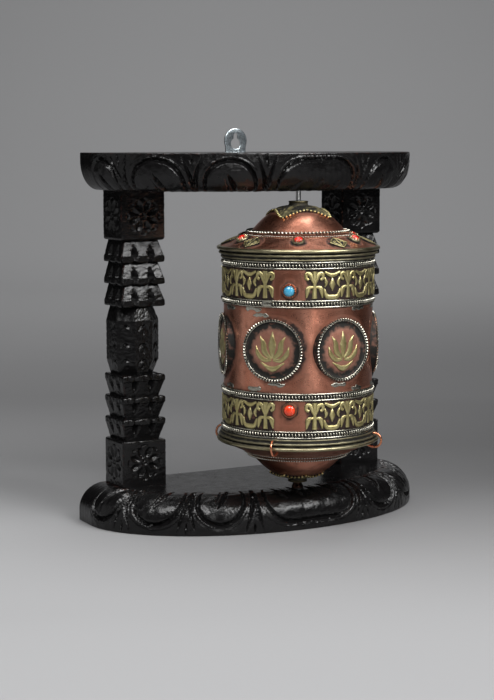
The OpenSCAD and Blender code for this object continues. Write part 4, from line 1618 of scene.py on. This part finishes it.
    def build_collar(self, end: End) -> None:
        """Builds the collar that the spindle passes through."""
        s, shape = self.size, Shape()
        z, r = s.dome_top + 0.05, s.neck_r
        bore = 2.2
        wall = end.pick(r - 1.2, bore)
        profile = [(bore, z), (r - 0.3, z), (r, z + 0.4), (r - 0.35, z + 1.2), (r - 0.35, z + 2.2),
                   (r, z + 2.8), (r - 0.1, z + 3.2), (r - 0.5, z + 3.35), (wall + 0.2, z + 3.35),
                   (wall, z + 3.0)]
        if end is End.UPPER:
            profile += [(wall, z + 1.2), (bore, z + 1.2)]
        tone = [0.9, 0.9, 0.6, 0.8, 0.6, 0.1, 0, 0.1, 0.5, 0.9, 1, 1][: len(profile)]
        shape.revolve(profile, 72, tone, lambda q: uneven_round(q, 0.012, 9.0, 41))
        node = end.pick("top_collar", "bottom_collar")
        self.hand_in(shape, node + "_spun", "dark_brass", node, end)

    def build_rope(self, end: End) -> None:
        """Builds the ring of twisted wire where the cone meets the dome."""
        s, white = self.size, self.shop.finishes["white_metal"]
        r = s.dome_r + 1.9
        z = s.middle + end.value * (float(s.height(r)) + 1.45)
        bead, pitch, lean, wide = end.pick((1.62, 2.75, 34.0, 0.5), (1.05, 1.8, 0.0, 0.62))
        trees = self.shop.trees
        parts = [trees.ring_of_beads("rope", r, z, bead, pitch, lean, white, 1.0, wide)]
        node = end.pick("lid_rope_ring", "pan_rope_ring")
        low = s.middle + end.value * (float(s.height(r + 3.1)) + 0.35)
        parts.append(trees.ring_of_beads("seed", r + 3.1, low, 0.62, 1.9, 0, white, 1.0, 1.0))
        self.shop.deliver(join(node + "_twisted", parts, 60), Body.DRUM, "white_metal", node)

    def build_crown(self, end: End, reach: float, notch: float, petals: int, node: str) -> None:
        """Builds a crown: a thin brass cap cut to petals, with a beaded wire along its edge.

        Args:
            end: The drum's end.
            reach: Radius of the petals' tips.
            notch: Radius between the petals.
            petals: Number of petals.
            node: The CAD node that it stands for.
        """
        s, shape = self.size, Shape()
        steps, rings = 320, 22
        a = full_turn(steps)
        x = np.abs(((a - radians(self.crown_start)) * petals / (2 * pi) + 0.5) % 1 - 0.5) * 2
        edge = notch + (reach - notch) * (1 - x) ** 1.35 - 0.5 * np.sin(pi * x) ** 2
        t = np.linspace(0, 1, rings)[:, None]
        r = s.neck_r - 0.6 + (edge - s.neck_r + 0.6) * t
        vein = 0.34 * np.cos(pi * x) * np.sin(pi * t) + 0.22 * np.cos(9 * pi * x * (0.4 + t)) * t
        stamped = 0.16 * ripple(polar(r, a, 0).reshape(-1, 3), 2.4, 61).reshape(r.shape)
        lift = 0.45 + 0.55 * t**2 + (vein + stamped) * np.sin(pi * np.clip(t, 0.05, 0.95))
        top, under = polar(r, a, s.height(r) + lift), polar(r, a, s.height(r) + 0.06)[::-1]
        tone = np.clip(1.3 - lift * 0.5 + 0.12 * np.sin(8 * a)[None, :], 0, 1)
        shape.add(np.concatenate([top, under]), grid_faces(2 * rings, steps, True, True),
                  np.concatenate([tone, np.ones_like(tone)]).reshape(-1))
        cap = shape.make("cap", 40, end, s.middle)
        rim = polar(edge, a, s.height(edge) + 0.95) * [1, 1, end.value] + [0, 0, s.middle]
        beads = self.shop.trees.beads.grow(
            path_object(rim, True), "beads", Spacing=2.8 * MM, Bead=1.2 * MM, Stretch=0.75, Squash=0.82,
            Slant=0.3, Core=0.6 * MM, Material=self.shop.finishes["brass"])
        self.shop.deliver(join(node + "_cut", [cap, beads], 50), Body.DRUM, "brass", node)

    def build_bead_wires(self) -> None:
        """Builds the four beaded wires, each between two plain ones, with a lapped joint in the second."""
        trees, white = self.shop.trees, self.shop.finishes["white_metal"]
        outer, inner = self.bead_heights
        r, thick, half = self.size.wall_r + 0.05, 0.35, 2.5
        for k, z in enumerate((outer, inner, -inner, -outer), 1):
            level = self.size.middle + z
            parts = [trees.ring_of_beads("beads", r + 0.9, level, 1.15, 2.3, 18, white, 1.34, 0.52)]
            for up in (-2.15, 2.15):
                parts.append(trees.plain_ring("rail", r + 0.66, level + up, 0.58, white))
            # the strip behind the beads is painted fully dark, as shade behind and between them
            back = Shape()
            back.revolve([(r, level - half), (r + thick, level - half), (r + thick, level + half),
                          (r, level + half)], 160, 1.0)
            if k == 2:
                lap = Stroke(((-3.2, 0), (3.2, 0)), (2.7,), 1.7)
                back.ribbon(lap, wall_place(self.lap_turn, r, level), 0.3, 0.8, 0.5)
            parts.append(back.make("back"))
            node = f"bead_wire_{k}"
            self.shop.deliver(join(node + "_strung", parts, 60), Body.DRUM, "white_metal", node)

    @staticmethod
    def palmette() -> list[Stroke]:
        """Draws an upright stem with a pair of curls above and a pair of leaves below."""
        stem = Stroke(((0, -8.9), (0, -1.0), (0, 8.9)), (1.9, 1.25, 2.0))
        curl = Stroke(((0.6, 1.2), (2.6, 6.6), (5.2, 7.4), (5.6, 4.4), (3.9, 3.4)),
                      (0.9, 1.5, 1.6, 1.3, 1.1), 0.95)
        leaf = Stroke(((0.6, -1.4), (4.0, -2.2), (5.4, -8.4)), (0.8, 2.0, 0.5), 0.95)
        return [stem, *mirrored(curl, leaf)]

    @staticmethod
    def lotus() -> list[Stroke]:
        """Draws a pointed bud between two bowed leaves."""
        roof = Stroke(((-5.6, 8.4), (0, 6.2), (5.6, 8.4)), (0.9, 1.7, 0.9), 0.95)
        bud = Stroke(((0, 4.6), (0, 0.4), (0, -4.2)), (0.3, 2.5, 0.3))
        cup = Stroke(((-5.8, -2.6), (-4.0, -7.4), (0, -8.2), (4.0, -7.4), (5.8, -2.6)),
                     (0.6, 1.6, 2.0, 1.6, 0.6), 0.95)
        leaf = Stroke(((5.6, 5.0), (4.3, 1.2), (5.4, -1.4)), (0.4, 1.5, 0.4), 0.9)
        return [roof, bud, cup, *mirrored(leaf)]

    def build_band(self, node: str, start: float, level: float, stone: float) -> None:
        """Builds a band: a copper strip, darker between its stones, with painted shade at its edges and round
        each stone, and brass palmettes and lotus buds between its stones.

        Args:
            node: The CAD node that it stands for.
            start: Angle of its first stone.
            level: Height of its middle over the wall's middle.
            stone: Height of its stones over the wall's middle.
        """
        s, strip, ornament = self.size, Shape(), Shape()
        r, h, steps = s.wall_r + 0.05, self.band_h / 2, 300
        section = ((0, -1), (0.3, -1), (0.34, -0.6), (0.34, -0.2), (0.34, 0.2), (0.34, 0.6), (0.3, 1), (0, 1))
        profile = np.array([(r + out, level + h * up) for out, up in section])
        a = np.linspace(0, 360, steps, endpoint=False)
        gap = np.abs((a - start + 60) % 120 - 60) * radians(1) * r
        # painted shade along the strip's top and bottom edges, and a painted shadow round each stone
        edges = np.array([1, 0.3, 0.05, 0, 0, 0.05, 0.3, 1])[:, None]
        shade = np.clip((gap - 9.5) / 3.5, 0.08, 1.0)[None, :] + edges
        painted_stone_shadow = np.clip(1.25 - (np.hypot(gap[None, :], profile[:, 1:] - stone) - 5.4) / 2.2, 0, 0.9)
        strip.revolve(profile, steps, 0.0)
        strip.tones[-1] = np.clip(np.maximum(shade, painted_stone_shadow), 0, 1).reshape(-1)
        self.hand_in(strip, node + "_strip", "copper", node, angle=50)
        count = self.band_patterns
        pitch = (2 * pi * r / 3 - 22.0) / count
        for k in range(3):
            place = wall_place(start + 60 + 120 * k, r, level)
            for n in range(count):
                for stroke in self.lotus() if n % 2 else self.palmette():
                    stroke = stroke.moved((n - (count - 1) / 2) * pitch, 0.0, scale=1.06)
                    ornament.ribbon(stroke, place, 0.3)
        self.hand_in(ornament, node + "_appliques", "brass", node, angle=50)

    def spots(self, start: float, level: float, count: int, lift: float) -> list[Spot]:
        """Marks evenly spaced spots on the wall.

        Args:
            start: Angle of the first.
            level: Height over the wall's middle.
            count: Number of spots.
            lift: Distance out from the wall.

        Returns:
            Each spot's place and directions.
        """
        out = []
        reach = self.size.wall_r + lift
        for turn in (start + 360 / count * k for k in range(count)):
            a = radians(turn)
            place = np.array([reach * cos(a), reach * sin(a), self.size.middle + level])
            out.append((place, frame_axes(turn, 0)))
        return out

    def bezel(self, inner: float, wall: float, rise: float, teeth: int, slot: str) -> Thing:
        """Builds a stone's collar, with teeth that lean over the stone.

        Args:
            inner: Radius of the stone's room.
            wall: Thickness of the collar.
            rise: Height of the collar.
            teeth: Number of teeth, or 0.
            slot: Its material slot.

        Returns:
            The object, with +Z outwards.
        """
        ring = Shape()
        o = inner + wall
        ring.revolve([(inner, -1.6), (o + 0.5, -1.6), (o + 0.5, 0.35), (o, 0.5), (o - 0.1, rise * 0.7),
                      (o - 0.4, rise), (inner + 0.1, rise), (inner - 0.1, rise * 0.6)], 36,
                     [1, 1, 0.9, 0.6, 0.2, 0, 0.2, 0.8])
        parts = [ring.make("collar")]
        if teeth:
            made = self.shop.trees.teeth.grow(
                path_object(np.zeros((2, 3)), False), "teeth", Radius=(inner + 0.45) * MM, Count=teeth,
                Width=0.55 * MM, Rise=1.9 * MM, Lean=0.35, Material=self.shop.finishes[slot])
            made.data.transform(Matrix.Translation((0, 0, rise * MM)))
            parts.append(made)
        return join("collar", parts, 45)

    def build_stones(self) -> None:
        """Builds the stones of both bands and their collars."""
        blue, coral = (self.blue_start, self.stone_mid, 3), (self.coral_start, -self.stone_mid, 3)
        kinds = (("blue_stones", "turquoise", blue), ("coral_stones", "orange_coral", coral))
        for node, slot, where in kinds:
            stone = Shape()
            stone.dome(FLAT, self.stone_r, 3.1, 0.0, 40, 12)
            self.set_out(node + "_cut", stone.make("stone"), slot, self.spots(*where, 0.7), node)
        rings, copper = [], self.shop.finishes["bezel_copper"]
        for where, teeth in ((blue, 18), (coral, 0)):
            part = self.bezel(self.stone_r + 0.03, 1.2, 1.7, teeth, "bezel_copper")
            rings.append(self.shop.trees.set_around("collars", part, copper, self.spots(*where, 0.45)))
        self.shop.deliver(join("stone_bezels_raised", rings, 45), Body.DRUM, "bezel_copper", "stone_bezels")

    def build_lid_ornament(self) -> None:
        """Builds the lid's stones, their toothed collars, and the filigree leaves."""
        spots = [self.size.on_lid(self.lid_start + 60 * k, self.lid_stone_reach, 0.35) for k in range(6)]
        stone = Shape()
        stone.dome(FLAT, self.lid_stone_r, 3.4, 0.0, 36, 12)
        self.set_out("lid_stones_cut", stone.make("stone"), "red_coral", spots, "lid_stones")
        part = self.bezel(self.lid_stone_r + 0.03, 0.7, 1.3, 16, "rim_brass")
        self.set_out("lid_bezels_raised", part, "rim_brass", spots, "lid_bezels")
        leaf, sides = Shape(), 48
        t = full_turn(sides)
        edge = 7.3 / (np.abs(np.cos(t)) + np.abs(np.sin(t))) ** 0.75 * (1 + 0.05 * np.cos(12 * t))
        levels = ((1.0, -0.25), (1.0, 0.3), (0.85, 0.55), (0.5, 0.7))
        rings = [FLAT(f * edge * np.cos(t), f * edge * np.sin(t), np.full(sides, h)) for f, h in levels]
        leaf.add(np.array(rings), grid_faces(len(levels), sides, False, True), 0.95)
        leaf.caps += [[list(range(sides))], [list(range((len(levels) - 1) * sides, len(levels) * sides))]]
        ring = list(zip(edge * 0.93 * np.cos(t), edge * 0.93 * np.sin(t)))
        leaf.ribbon(Stroke(tuple(ring + ring[:1]), (0.5,), 0.8), FLAT, 0.2, 0.8, 1.5)
        leaf.ribbon(Stroke(((0, -5.2), (0, 0), (0, 5.4)), (0.3, 1.1, 0.2), 0.9), FLAT, 0.4, 0.7, 1.5)
        curl = Stroke(((0.8, -4.6), (3.6, -1.6), (4.2, 1.0), (2.3, 1.8), (2.2, 0.2)),
                      (0.3, 0.65, 0.6, 0.5), 0.8)
        for stroke in mirrored(curl):
            leaf.ribbon(stroke, FLAT, 0.4, 0.6, 1.5)
        spots = [self.size.on_lid(turn, self.leaf_reach, 0.3) for turn in self.leaves]
        self.set_out("lid_leaves_filigree", leaf.make("leaf", 40), "brass", spots, "lid_leaves")

    def build_medallions(self) -> None:
        """Builds the six medallions: a domed copper dish, a twisted ring and a brass flower."""
        trees, white = self.shop.trees, self.shop.finishes["white_metal"]
        spots = [self.spots(turn, 0, 1, self.medal_out)[0] for turn in self.medals]
        r = self.medal_r
        dish = Shape()
        profile = [(0.001, -0.2), (6, -0.25), (10, -0.45), (13.5, -0.8), (16, -1.2), (r - 4.6, -1.6),
                   (r - 3.4, -1.7), (r - 2.6, -1.2), (r - 1.4, -0.9), (r - 0.7, -1.3), (r - 0.6, -6.4),
                   (r - 2.4, -6.4), (r - 2.4, -5.0), (0.001, -1.45)]
        # the dish is painted dark from about 16 mm out to its rim, as shadow under the twisted ring
        dish.revolve(profile, 84, [0.0, 0.0, 0.05, 0.3, 0.8, 1, 1, 1, 1, 0.9, 0.95, 1, 1, 1])
        self.set_out("medallion_dishes", dish.make("dish", 45), "dark_copper", spots, "medallion_cups")
        rope = trees.ring_of_beads("rope", r - 0.95, -0.4, 1.1, 2.1, 28, white, 0.9, 0.55)
        rail = trees.plain_ring("rail", r - 2.0, -0.95, 0.34, white)
        self.build_solder()
        ring = join("ring", [rope, rail], 60)
        self.set_out("medallion_rings_twisted", ring, "white_metal", spots, "medallion_rings")
        flower = Shape()
        for stroke in self.flower():
            flower.ribbon(stroke, FLAT, -0.95, 0.8, 0.9)
        self.set_out("medallion_flowers", flower.make("flower", 40), "brass", spots, "medallion_motifs")

    def build_solder(self) -> None:
        """Builds the smears of solder that run out from under the medallions' rings and the beaded wires."""
        smears = ((9.5, 24.3, 13.0, 1.9), (16.0, 28.4, 14.0, 2.0), (15.0, -28.2, 12.0, 2.1),
                  (-2.5, -24.3, 13.0, 1.6))
        shape = Shape()
        rng = np.random.default_rng(71)
        t = np.linspace(-0.5, 0.5, 5)
        for k, medal in enumerate(self.medals):
            place = wall_place(medal, self.size.wall_r)
            flip = 1 if k % 2 else -1
            for u, v, length, half in smears[k % 2:] if k % 3 else smears:
                path = tuple((flip * u + length * x, v + rng.uniform(-0.7, 0.7)) for x in t)
                widths = (0.3, *(half * rng.uniform(0.45, 1.15) for _ in range(7)), 0.3)
                shape.ribbon(Stroke(path, widths, 0.3), place, -0.12, 0.6, 0.55)
        self.hand_in(shape, "medallion_solder", "white_metal", "medallion_rings", angle=60)

    @staticmethod
    def flower() -> list[Stroke]:
        """Draws the medallions' flower: a bud between curling leaves over a crescent."""
        bud = Stroke(((0, -5.2), (0, 3.0), (0, 13.4)), (1.2, 3.5, 0.3), 1.25)
        crescent = Stroke(((-8.8, -8.6), (0, -13.0), (8.8, -8.6)), (0.4, 2.3, 0.4), 1.1)
        upper = Stroke(((0.8, -6.0), (5.6, -1.0), (6.6, 5.0), (9.4, 9.8)), (1.2, 2.6, 2.3, 0.3), 1.2)
        lower = Stroke(((0.8, -6.6), (6.2, -6.6), (10.6, -2.4), (12.2, 3.0)), (1.2, 2.0, 1.9, 0.3), 1.1)
        return [bud, crescent, *mirrored(upper, lower)]

    def build_hooks(self) -> None:
        """Builds the copper wire hooks that hang on the lower rim."""
        low, steps = -self.size.flange_z, 40
        bend = np.radians(np.linspace(100, -95, 12))
        loop = [(58.2 + 5.0 * cos(a), low + 1.6 + 5.2 * sin(a)) for a in bend]
        x, z = smooth_path(loop + [(55.8, low - 3.6), (52.8, low - 2.6)], steps).T
        side = np.linspace(-0.9, 0.9, steps)
        parts = []
        for k in range(self.hooks):
            a = radians(self.hook_start + 360 / self.hooks * k)
            pts = np.stack([x * cos(a) - side * sin(a), x * sin(a) + side * cos(a),
                            z + self.size.middle], -1)
            parts.append(self.shop.trees.wire.grow(
                path_object(pts, False), "hook", Radius=self.hook_wire * MM, Sides=10,
                Material=self.shop.finishes["hook_copper"]))
        self.shop.deliver(join("rim_hooks_bent", parts, 60), Body.DRUM, "hook_copper", "rim_hooks")


@dataclass
class FootBead:
    """The small turned bead on the base that the drum runs on."""

    shop: Workshop
    radius: float = 4.2
    bore: float = 1.85

    def build(self) -> None:
        """Builds the bead and hands it in."""
        low, high = box_mm("foot_bead")
        z, h = low[2], high[2] - low[2]
        r, shape = self.radius, Shape()
        shape.revolve([(self.bore, z), (r, z), (r, z + h * 0.35), (r - 0.25, z + h * 0.5),
                       (r - 0.9, z + h * 0.7), (r - 1.0, z + h * 0.95), (r - 1.3, z + h),
                       (self.bore, z + h)], 48, [0.6, 0.6, 0.1, 0, 0.4, 0.1, 0.2, 0.8])
        self.shop.deliver(shape.make("foot_bead_turned"), Body.FRAME, "foot_bead_brass", "foot_bead")


# ---------- studio


@dataclass(frozen=True)
class Softbox:
    """A soft square light aimed at the object."""

    name: str
    turn: float
    rise: float
    away: float
    width: float
    height: float
    power: float
    shift: Triple = (0.0, 0.0, 0.0)

    def build(self, aim: Vector) -> None:
        """Hangs the light."""
        light = bpy.data.lights.new(self.name, "AREA")
        light.shape, light.size, light.size_y = "RECTANGLE", self.width, self.height
        light.energy = self.power
        obj = link(self.name, light)
        obj.visible_camera = False
        a, e = radians(self.turn), radians(self.rise)
        back = Vector((cos(a) * cos(e), sin(a) * cos(e), sin(e)))
        obj.location = aim + Vector(self.shift) + back * self.away
        obj.rotation_mode = "QUATERNION"
        obj.rotation_quaternion = back.to_track_quat("Z", "Y")


@dataclass
class Studio:
    """A seamless floor with light and shade painted into its colour, soft lights and the camera."""

    aim: Vector
    lens: float = 91.0
    room_light: float = 0.035
    floor_run: float = 2.1
    floor_bend: float = 1.0
    floor_reach: float = 6.0
    wall_top: float = 5.0
    stand: Vector = field(default_factory=lambda: Vector((-0.66316, -1.09819, 0.28434)))
    way: Vector = field(default_factory=lambda: Vector((0.48842, 0.86435, -0.11979)))
    # painted light and shade on the floor: its grey at each distance along the main camera's view, in metres
    tones: tuple[tuple[float, float], ...] = (
        (-0.8, 0.03), (-0.44, 0.29), (-0.3, 0.29), (-0.21, 0.28), (-0.11, 0.26), (0.01, 0.225), (0.16, 0.165),
        (0.35, 0.145), (0.59, 0.14), (0.92, 0.175), (1.38, 0.24), (2.1, 0.35), (2.4, 0.36), (2.73, 0.35),
        (2.9, 0.345), (3.05, 0.33))
    lights: tuple[Softbox, ...] = (
        Softbox("key_front_left", -134, 47, 1.2, 0.6, 0.45, 10),
        Softbox("key_front_right", -68, 40, 1.2, 0.7, 0.5, 17),
        Softbox("strip_front", -96, 9, 1.2, 0.22, 0.6, 1.25),
        Softbox("panel_left", 167, 6, 1.0, 0.9, 0.8, 0.8),
        Softbox("backdrop", -119.5, 42, 2.2, 1.8, 0.5, 26, shift=(1.42, 2.52, 0.25)),
        Softbox("top", 60, 80, 1.3, 0.9, 0.7, 7),
    )

    def build(self) -> None:
        """Sets up the floor, the light and the camera."""
        self.build_floor()
        for light in self.lights:
            light.build(self.aim)
        world = bpy.data.worlds.new("room")
        bpy.context.scene.world = world
        world.use_nodes = True
        glow = world.node_tree.nodes["Background"].inputs
        glow["Color"].default_value, glow["Strength"].default_value = (0.9, 0.95, 1.0, 1.0), self.room_light
        camera = bpy.data.cameras.new("camera")
        camera.lens, camera.sensor_width = self.lens, 36.0
        camera.clip_start, camera.clip_end = 0.05, 50
        obj = link("camera", camera)
        obj.location = self.stand
        obj.rotation_mode = "QUATERNION"
        obj.rotation_quaternion = self.way.to_track_quat("-Z", "Y")
        bpy.context.scene.camera = obj
        bpy.context.scene.view_settings.view_transform = "Standard"

    def build_floor(self) -> None:
        """Builds the seamless floor that curves up behind the object, with light and shade painted into its
        colour: a grey that changes along the main camera's view, brighter on one side near the object, and
        falling off to both sides.
        """
        run, bend, reach = self.floor_run, self.floor_bend, self.floor_reach
        curve, cols = np.linspace(0.05, pi / 2, 24), 9
        arc = [(run + bend * sin(a), bend - bend * cos(a)) for a in curve]
        line = [(-reach, 0.0), (run, 0.0), *arc, (run + bend, self.wall_top)]
        a = math.atan2(self.way.y, self.way.x)
        out, side = np.array([cos(a), sin(a), 0]), np.array([-sin(a), cos(a), 0])
        places = np.linspace(-reach, reach, cols)
        pts = [out * x + side * s + np.array([0, 0, z]) for x, z in line for s in places]
        mesh = bpy.data.meshes.new("floor")
        mesh.from_pydata(np.array(pts).tolist(), [], grid_faces(len(line), cols))
        floor = as_object(mesh, "floor", 60)
        p = Paint("floor_paper_painted_light", Roughness=0.8, Specular_IOR_Level=0.1)
        split = p.add("SeparateXYZ", {0: p.add("Mapping", {0: p.space, "Rotation": (0, 0, -a)})})
        along, aside = split.outputs[0], split.outputs[1]
        start, end = -1.0, 3.2
        # painted light and shade: the floor's grey changes along the main camera's view direction
        painted_light_ramp = p.add("ValToRGB", {0: p.range(along, 0.0, 1.0, start, end)})
        stops = painted_light_ramp.color_ramp.elements
        stops.remove(stops[0])
        for k, (where, tone) in enumerate(self.tones):
            spot = (where - start) / (end - start)
            stop = stops.new(spot) if k else stops[0]
            stop.position, stop.color = spot, (tone, tone, tone * 1.015, 1)
        # painted light across the floor: brighter on one side and darker on the other near the object, and
        # falling off to both sides
        middle = p.add("Math", {0: p.add("Math", {0: along, 1: -0.2}, operation="ADD")}, operation="ABSOLUTE")
        lean = p.sum("SUBTRACT", p.range(middle, 0.42, 0.1, 0.0, 0.45), p.range(along, 0.0, 0.1, 1.0, 2.0))
        painted_side_tilt = p.range(aside, -1.75, 1.75, -0.35, 0.35)
        across = p.add("Math", {0: lean, 1: painted_side_tilt, 2: 1.0}, operation="MULTIPLY_ADD")
        painted_side_falloff = p.range(p.add("Math", {0: aside}, operation="ABSOLUTE"), 1.0, 0.12, 0.8, 1.6)
        fade = p.add("Math", {0: across, 1: painted_side_falloff}, operation="MULTIPLY")
        shade = p.add("VectorMath", {0: painted_light_ramp, 1: fade}, operation="MULTIPLY")
        floor.data.materials.append(p.set(Base_Color=shade.outputs[0]))


# ---------- assembly


def main() -> None:
    """Builds the whole prayer wheel round the CAD frame."""
    logging.basicConfig(level=logging.INFO, format="%(name)s: %(message)s")
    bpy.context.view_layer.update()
    shop = Workshop(Finishes(), Trees())

    base_low, base_high = box_mm("base_board")
    top_high = box_mm("top_board")[1]
    post = sum(box_mm("right_post")) / 2
    spindle_hole = (0.0, 0.0, box_mm("lower_socket")[1][0] + 0.05)
    head, shank = 4.4, 2.2
    posts = tuple((side * post[0], post[1], head + 0.05) for side in (-1, 1))
    CarvedBoard(
        shop, "base_board", 20.6, 8.8,
        petals=((-178.0, -150.0, 1), (-136.1, -99.5, 1), (-87.1, -51.7, 1), (-34.1, 43.4, 4), (58.0, 94.0, 1),
                (106.0, 142.0, 1), (154.0, 180.0, 1)),
        darts=((-142.8, -2.0), (-93.6, 0.0), (-43.0, 0.0), (51.0, 1.0), (100.0, 0.0), (148.0, 2.0)),
        holes=(spindle_hole,), far_holes=posts).build()
    CarvedBoard(
        shop, "top_board", 14.4, 5.8,
        petals=((-176.0, -150.0, 1), (-135.3, -95.8, 1), (-80.7, -42.6, 1), (-24.9, 41.0, 3), (56.0, 94.0, 1),
                (106.0, 142.0, 1), (152.0, 176.0, 1)),
        darts=((-144.0, 3.0), (-88.5, 0.0), (-34.0, 0.0), (48.0, -2.0), (100.0, -2.0), (147.0, 0.0)),
        turned=End.LOWER, holes=(spindle_hole,), far_holes=posts, seed=13).build()
    CarvedPost(shop, "left_post", seed=21).build()
    CarvedPost(shop, "right_post", seed=37).build()
    length = base_high[2] + 26
    for node, level, way in (("base_screws", base_low[2] + 0.4, -1), ("top_screws", top_high[2] - 0.4, 1)):
        spots = tuple((x, y, level) for x, y, _ in posts)
        Screws(shop, node, spots, (0, 0, way), head, shank, length, "screw_steel").build()
    Hanger(shop).build()
    plate_back = box_mm("hanger_plate")[1][1]
    head, shank = 3.4, 1.6
    screw_low, screw_high = box_mm("hanger_screws")
    spots = tuple((0.0, plate_back, z) for z in (screw_low[2] + head, screw_high[2] - head))
    Screws(shop, "hanger_screws", spots, (0, 1, 0), head, shank, 16, "zinc").build()
    shop.dress_node("spindle", "spindle_steel")
    shop.dress_node("lower_socket", "dark_brass")
    shop.dress_node("upper_socket", "dark_brass")
    FootBead(shop).build()

    wall_low, wall_high = box_mm("drum_shell")
    Drum(shop, DrumEnd((wall_low[2] + wall_high[2]) / 2, (wall_high[0] - wall_low[0]) / 2,
                       (wall_high[2] - wall_low[2]) / 2)).build()
    Studio(Vector((-0.005, 0.03, 0.14))).build()
    LOG.info("%d pieces", len(shop.pieces))


if __name__ == "__main__":
    main()
